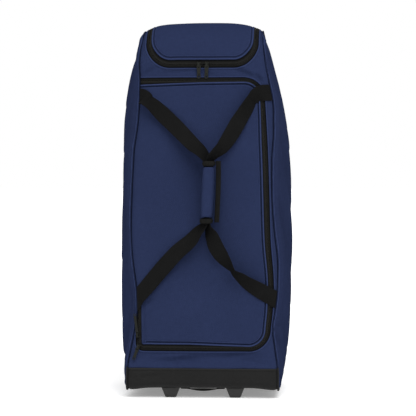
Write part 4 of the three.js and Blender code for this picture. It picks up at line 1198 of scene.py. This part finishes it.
# The carrying straps: black ribbed webbing, one on each side, sewn into the side seams at both ends.
# Each runs from its seam to the grip, turns on edge inside it and runs back to the seam further down.
WEBBING = {"width": 0.038, "thickness": 0.0022, "edge": 0.35, "stations": 260, "around": 28, "margin": 0.0004}
STRAP_COLUMNS = "x z lift lean"
STRAPS = {
    -1: table(STRAP_COLUMNS, [
        (-0.172, 0.717, 0.0022, 0), (-0.150, 0.716, 0.0024, 0), (-0.138, 0.713, 0.0045, 8),
        (-0.1265, 0.7055, 0.0125, 48), (-0.1145, 0.6965, 0.0120, 42), (-0.1010, 0.6830, 0.0105, 28),
        (-0.0860, 0.6685, 0.010, 12), (-0.0610, 0.6435, 0.014, 10), (-0.0190, 0.6005, 0.026, 28),
        (0.0040, 0.5795, 0.034, 48), (0.0148, 0.562, 0.036, 66), (0.0158, 0.550, 0.036, 66),
        (0.0111, 0.423, 0.036, 112), (0.0050, 0.410, 0.036, 116), (-0.008, 0.396, 0.033, 132),
        (-0.0227, 0.378, 0.027, 148), (-0.056, 0.349, 0.017, 164), (-0.090, 0.312, 0.009, 173),
        (-0.125, 0.271, 0.0050, 170), (-0.150, 0.241, 0.0050, 164), (-0.170, 0.216, 0.0036, 170),
        (-0.192, 0.189, 0.0022, 180),
    ]),
    1: table(STRAP_COLUMNS, [
        (0.186, 0.724, 0.0022, 0), (0.160, 0.723, 0.0024, 0), (0.141, 0.722, 0.003, 2),
        (0.128, 0.717, 0.007, 26), (0.1165, 0.705, 0.0115, 46), (0.1025, 0.682, 0.0105, 28),
        (0.084, 0.650, 0.013, 14), (0.067, 0.619, 0.020, 22), (0.050, 0.594, 0.028, 40),
        (0.034, 0.579, 0.035, 58), (0.0222, 0.565, 0.036, 66), (0.0202, 0.550, 0.036, 66),
        (0.0155, 0.423, 0.036, 112), (0.0178, 0.409, 0.036, 112), (0.0255, 0.3894, 0.034, 145),
        (0.0350, 0.3630, 0.030, 166), (0.0465, 0.3430, 0.028, 156), (0.0590, 0.3255, 0.026, 134),
        (0.0735, 0.3065, 0.024, 107), (0.0870, 0.2945, 0.020, 127), (0.1065, 0.2780, 0.0155, 144),
        (0.142, 0.255, 0.0048, 170), (0.168, 0.240, 0.0024, 180), (0.192, 0.226, 0.0022, 180),
    ]),
}


def smooth_line(knots, u):
    """A smooth curve through the knots, even in knots along u from 0 to 1. Each stretch is a cubic whose end
    slopes come from the knots on both sides, spaced by the square root of their distance. Gives its points
    and the way along it."""
    ends = 2 * knots[[0, -1]] - knots[[1, -2]]
    p = np.concatenate([ends[:1], knots, ends[1:]])
    gap = np.sqrt(np.linalg.norm(np.diff(p, axis=0), axis=1, keepdims=True))
    rate = np.diff(p, axis=0) / gap
    wide = (p[2:] - p[:-2]) / (gap[:-1] + gap[1:])
    slope = rate[:-1] - wide + rate[1:]
    place = u * (len(knots) - 1)
    i = np.minimum(place.astype(int), len(knots) - 2)
    w = (place - i)[..., None]
    a, b = knots[i], knots[i + 1]
    m, n = slope[i] * gap[i + 1], slope[i + 1] * gap[i + 1]
    rise, fall = 2 * (a - b) + m + n, 3 * (b - a) - 2 * m - n
    return ((rise * w + fall) * w + m) * w + a, unit((3 * rise * w + 2 * fall) * w + m)


def rounded(angle, power):
    """Round an oblong of unit half sides with rounded corners: cosine and sine, each raised to a power."""
    return [np.sign(way) * np.abs(way) ** power for way in (np.cos(angle), np.sin(angle))]


def strap_points(rows, u, angle):
    """Webbing over the front: a flat section with round edges, carried along a smooth line that stands off
    the cloth by each row's lift, and leaning about that line. angle goes round the section."""
    s = on_front(rows["z"])
    knots = shell(rows["x"], s) + shell_normal(rows["x"], s) * rows["lift"][:, None]
    at, along = smooth_line(knots, u)
    out = shell_normal(at[..., 0], on_front(at[..., 2]))
    flat = unit(np.cross(along, out))
    lean = np.radians(np.interp(u * (len(rows) - 1), np.arange(len(rows)), rows["lean"]))[..., None]
    across = flat * np.cos(lean) + np.cross(flat, along) * np.sin(lean)
    face = np.cross(across, along)
    side, thick = rounded(angle, WEBBING["edge"])
    side, thick = side * WEBBING["width"] / 2, thick * WEBBING["thickness"] / 2
    return at + across * side[..., None] + face * thick[..., None], side


def at_seam(room, u, inner, outer):
    """Where each edge line of the webbing meets the seam: between its last place inside and the next out."""
    column = np.arange(room.shape[1])
    share = room[inner, column] / (room[inner, column] - room[outer, column])
    return u[inner, column] + (u[outer, column] - u[inner, column]) * share


def capped(rows, columns):
    """Faces of a closed section carried along a path, with its two ends filled."""
    index = np.arange(rows * columns).reshape(rows, columns)
    around = grid_faces(rows, columns, round_about=True).tolist()
    return [*around, index[0, ::-1].tolist(), index[-1].tolist()]


WEBBING_BLACK = ribbed_finish("webbing", linear(19, 19, 19), pitch=0.0019, across_pitch=0.0034)
for side, label in LABELS.items():
    rows = STRAPS[side]
    u, angle = grid(np.linspace(0, 1, WEBBING["stations"]), once_round(WEBBING["around"]))
    points, _ = strap_points(rows, u, angle)
    middle, half = seam_span(on_front(points[..., 2]))
    room = half - side * (points[..., 0] - middle) - WEBBING["margin"]
    first, last = np.argmax(room > 0, axis=0), len(room) - 1 - np.argmax(room[::-1] > 0, axis=0)
    start, stop = at_seam(room, u, first, first - 1), at_seam(room, u, last, last + 1)
    u = start + (stop - start) * u
    points, aside = strap_points(rows, u, angle)
    length = np.linalg.norm(np.diff(points.mean(axis=1), axis=0), axis=1).sum()
    strap = piece(
        f"carry_webbing_{label}", points, capped(*u.shape), WEBBING_BLACK, joined(aside, u * length),
        stands_for=[f"carry_strap_{label}"],
    )


# The grip: a padded navy wrap round both straps, bound in black at its ends and along its closing edge.
# The wrap is foam between two layers of cloth; the bindings are folded tape.
def node_box(name):
    """The lowest and highest corners of one of the frame's pieces."""
    return [np.array(corner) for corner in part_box(name)]


GRIP_LOW, GRIP_HIGH = node_box("grip_wrap")
GRIP_MIDDLE = (GRIP_LOW + GRIP_HIGH) / 2
GRIP_SIZE = GRIP_HIGH - GRIP_LOW
GRIP_WALL = 0.0042
GRIP_IN_BANDS = 0.0008
GRIP_BULGE = 0.0010
GRIP_UNREST = 0.0004
GRIP_LEAN = {"top": 0.0010, "bottom": -0.0047}
BAND_WALL = GRIP_WALL * 1.1
BAND_BULGE = 0.0003
BAND_TRIM = {"top": (0.0025, 0.0), "bottom": (0.0060, 0.0036)}
SLEEVE = {"around": 76, "rows": 64, "out": 0.46, "back": 0.54, "turn": 0.08, "corner": 0.62}
ROLL = {"share": 0.35, "reach": 0.0022, "least": 0.01}
SLEEVE_UNREST = {"size": 0.03, "seed": 61}
SLEEVE_RADIUS = 0.02
EDGE_TRIM = 0.008
EDGE_BOW = {"most": 0.0034, "lost": 0.0029}
EDGE_WIDER = {"bottom": 1.04, "more": 0.06}
EDGE_TAPE = {"stations": 70, "around": 20, "corner": 0.6}


def grip_lean(z):
    """How far the grip has shifted aside at a height: a straight line between its ends."""
    share = (z - GRIP_LOW[2]) / GRIP_SIZE[2]
    return GRIP_LEAN["bottom"] + (GRIP_LEAN["top"] - GRIP_LEAN["bottom"]) * share


def ring_faces(rows, columns):
    """Cells of a grid that goes round about both ways: after its last row comes the first."""
    return grid_faces(rows + 1, columns, round_about=True) % (rows * columns)


def sleeve(name, low, high, size, wall, bulge, material, node_name, unrest=0.0):
    """A soft sleeve round the straps: a rounded oblong carried upwards, out on its outer face and back on its
    inner one. It swells by a square between its ends, and its ends are rolled over. Gives the piece and which
    corners lie on its rolls and its inner face."""
    swing = np.linspace(0, 1, SLEEVE["rows"])
    going = np.clip(swing / SLEEVE["out"], 0, 1) - np.clip((swing - SLEEVE["back"]) / SLEEVE["out"], 0, 1)
    depth = np.clip((swing - SLEEVE["out"]) / SLEEVE["turn"], 0, 1) * wall
    rolls = [np.exp(-((share * (high - low) / ROLL["reach"]) ** 2)) for share in (going, 1 - going)]
    roll = wall * ROLL["share"] * rolls[0] + wall * ROLL["share"] * rolls[1]
    inset = np.where(swing < 0.5, roll, depth - roll)[:, None]
    hidden = (swing > SLEEVE["out"]) | (roll > wall * ROLL["least"])
    inner = np.repeat(hidden[:, None], SLEEVE["around"], axis=1)
    going = going[:, None]
    lap = np.linspace(0, 1, SLEEVE["around"], endpoint=False)[None] * 2 * np.pi
    round_x, round_y = rounded(lap, SLEEVE["corner"])
    z = low + (high - low) * going + 0 * lap
    swell = bulge * (4 * going * (1 - going) - 0.5)
    swell = swell + ripple(lap * SLEEVE_RADIUS, z, unrest, **SLEEVE_UNREST)
    reach_x, reach_y = size[0] / 2 + swell - inset, size[1] / 2 + swell - inset
    points = joined(GRIP_MIDDLE[0] + grip_lean(z) + reach_x * round_x, GRIP_MIDDLE[1] + reach_y * round_y, z)
    cut = joined(lap * size[:2].mean() / 2, z)
    made = piece(name, points, ring_faces(*z.shape), material, cut, stands_for=[node_name])
    return made, inner


grip, grip_sewn = sleeve(
    "grip_pad", GRIP_LOW[2] + BAND_TRIM["bottom"][0], GRIP_HIGH[2], GRIP_SIZE - GRIP_IN_BANDS, GRIP_WALL,
    GRIP_BULGE, NAVY_CLOTH, "grip_wrap", GRIP_UNREST,
)
settle(grip, grip_sewn, growth=0.05, push=3.0, most=0.0016)
refine(grip)
BINDING = ribbed_finish("binding", linear(24, 24, 23), pitch=0.0013, across_pitch=0.0026)
for label, (raised_low, raised_high) in BAND_TRIM.items():
    low, high = node_box(f"grip_binding_{label}")
    sleeve(
        f"grip_band_{label}", low[2] + raised_low, high[2] + raised_high, high - low, BAND_WALL, BAND_BULGE,
        BINDING, f"grip_binding_{label}",
    )

EDGE_LOW, EDGE_HIGH = node_box("grip_edge_binding")
edge_u, edge_angle = grid(np.linspace(0, 1, EDGE_TAPE["stations"]), once_round(EDGE_TAPE["around"]))
edge_half, edge_middle = (EDGE_HIGH - EDGE_LOW) / 2, (EDGE_LOW + EDGE_HIGH) / 2
edge_bow = EDGE_BOW["most"] - EDGE_BOW["lost"] * edge_u**4
edge_x, edge_y = rounded(edge_angle, EDGE_TAPE["corner"])
edge_x = edge_x * edge_half[0] * (EDGE_WIDER["bottom"] + EDGE_WIDER["more"] * edge_u)
edge_z = EDGE_LOW[2] + EDGE_TRIM + (EDGE_HIGH[2] - EDGE_LOW[2] - EDGE_TRIM) * edge_u
edge_points = joined(
    edge_middle[0] + grip_lean(edge_z) + edge_x + edge_bow,
    edge_middle[1] + edge_y * edge_half[1] + edge_bow,
    edge_z,
)
piece(
    "grip_edge_tape", edge_points, capped(*edge_u.shape), BINDING, joined(edge_x, edge_z),
    stands_for=["grip_edge_binding"],
)


# The base handle: a short length of webbing sewn under the front of the base at both ends and slack between.
# Its back edge hangs lower than its front one, as a hand has left it.
HANDLE = {"half_thick": 0.0011, "hang": 0.70, "curl": 2.6, "length": 0.108, "stations": 90, "around": 24}
handle_low, handle_high = node_box("base_handle")
handle_half, handle_middle = (handle_high - handle_low) / 2, (handle_low + handle_high) / 2
handle_t, handle_angle = grid(np.linspace(-1, 1, HANDLE["stations"]), once_round(HANDLE["around"]))
handle_y, handle_z = rounded(handle_angle, WEBBING["edge"])
handle_hang = HANDLE["hang"] * (1 - ((1 - handle_y) / 2) ** HANDLE["curl"]) * (1 - handle_t**2) ** 2
handle_hang = handle_hang * (handle_high[2] - handle_low[2] - 2 * HANDLE["half_thick"])
handle_points = joined(
    handle_middle[0] + handle_t * handle_half[0], handle_middle[1] + handle_y * handle_half[1],
    handle_high[2] - HANDLE["half_thick"] - handle_hang + handle_z * HANDLE["half_thick"],
)
handle = piece(
    "base_handle_webbing", handle_points, capped(*handle_t.shape), WEBBING_BLACK,
    joined(handle_y * handle_half[1], handle_points[..., 0]), stands_for=["base_handle"],
)


# The feet: moulded plastic stubs under the front of the base that taper to a flat sole with a rounded rim.
# The housings are moulded cups let into the back corners, and hold the axles: the frame's own pieces.
PLASTIC = plain_finish(
    "moulded_plastic", linear(41, 41, 41), roughness=0.46, grain=0.0012, depth=0.0002,
    Specular_IOR_Level=0.25,
)
STEEL = plain_finish(
    "axle_steel", linear(168, 168, 166), roughness=0.3, grain=0.002, depth=0.00005, Metallic=1.0
)
FOOT = {"taper": 0.58, "corner": 0.3, "around": 72}
FOOT_LEVELS = table("height inset", [
    (0.00, 0.0026), (0.02, 0.0012), (0.06, 0.0004), (0.12, 0.0), (0.30, 0.0),
    (0.60, 0.0), (0.86, 0.0), (0.97, 0.0), (1.00, 0.0),
])
for label in LABELS.values():
    frame["nodes"][f"wheel_housing_{label}"].material_slots[0].material = PLASTIC
    frame["nodes"][f"axle_{label}"].material_slots[0].material = STEEL
    low, high = node_box(f"foot_{label}")
    middle = (low + high) / 2
    rise = FOOT_LEVELS["height"][:, None]
    share = FOOT["taper"] + (1 - FOOT["taper"]) * rise
    reach = (high - low)[:2, None, None] / 2 * share - FOOT_LEVELS["inset"][:, None]
    round_x, round_y = rounded(once_round(FOOT["around"])[None], FOOT["corner"])
    z = low[2] + (high[2] - low[2]) * rise
    points = joined(middle[0] + reach[0] * round_x, middle[1] + reach[1] * round_y, z)
    piece(
        f"foot_moulding_{label}", points, capped(*points.shape[:2]), PLASTIC,
        stands_for=[f"foot_{label}"],
    )


# The wheels: a moulded hub with six ribs on each face, and a rubber tyre with three grooves round its tread.
# Hub and tyre turn together about the steel axle.
RUBBER = plain_finish(
    "tyre_rubber", linear(34, 34, 34), roughness=0.7, grain=0.0008, depth=0.0002, Specular_IOR_Level=0.3
)
TYRE_HALF = table("radius along", [
    (0.0360, 0.0000), (0.0350, 0.0004), (0.0350, 0.0012), (0.0360, 0.0018), (0.0360, 0.0050),
    (0.0350, 0.0056), (0.0350, 0.0066), (0.0359, 0.0074), (0.0357, 0.0096), (0.0348, 0.0114),
    (0.0332, 0.0126), (0.0312, 0.0130), (0.0296, 0.0126), (0.0281, 0.0118),
])
HUB_HALF = table("radius along", [
    (0.0277, 0.0000), (0.0277, 0.0090), (0.0268, 0.0100), (0.0246, 0.0100), (0.0238, 0.0092),
    (0.0234, 0.0060), (0.0200, 0.0052), (0.0160, 0.0052), (0.0116, 0.0058), (0.0110, 0.0070),
    (0.0110, 0.0145), (0.0100, 0.0155), (0.0054, 0.0155), (0.0045, 0.0148),
])
HUB_RIBS = {"count": 6, "rise": 0.0040, "narrow": 0.07, "inner": 0.0114, "outer": 0.0236}
WHEEL_AROUND = 120


def turned(name, half, joint, body, material, node_name, rib_rise=0.0):
    """A wheel's piece: half of an outline, from its widest place inwards, is mirrored to a closed outline and
    turned about the axle. Ribs raise the web along the axle by a bell of the angle to the nearest rib."""
    outline = np.concatenate([half[::-1], half[1:]])
    way = np.repeat([-1.0, 1.0], [len(half), len(half) - 1])[:, None]
    angle = once_round(WHEEL_AROUND)[None]
    radius, along = outline["radius"][:, None], outline["along"][:, None]
    off_rib = np.abs(np.mod(angle * HUB_RIBS["count"] / (2 * np.pi) + 0.5, 1) - 0.5)
    web = (radius > HUB_RIBS["inner"]) & (radius < HUB_RIBS["outer"])
    along = along + rib_rise * web * np.exp(-((off_rib / HUB_RIBS["narrow"]) ** 2))
    x, y, z = joint["pos_m"]
    points = joined(x + way * along, y + radius * np.cos(angle), z + radius * np.sin(angle))
    cells = ring_faces(*points.shape[:2])
    piece(name, points, cells, material, body=body, stands_for=[node_name])


for label, joint in zip(LABELS.values(), frame["joints"]):
    body = f"wheel_{label}"
    turned(f"tyre_{label}", TYRE_HALF, joint, body, RUBBER, f"wheel_tyre_{label}")
    turned(
        f"hub_{label}", HUB_HALF, joint, body, PLASTIC, f"wheel_hub_{label}",
        HUB_RIBS["rise"],
    )
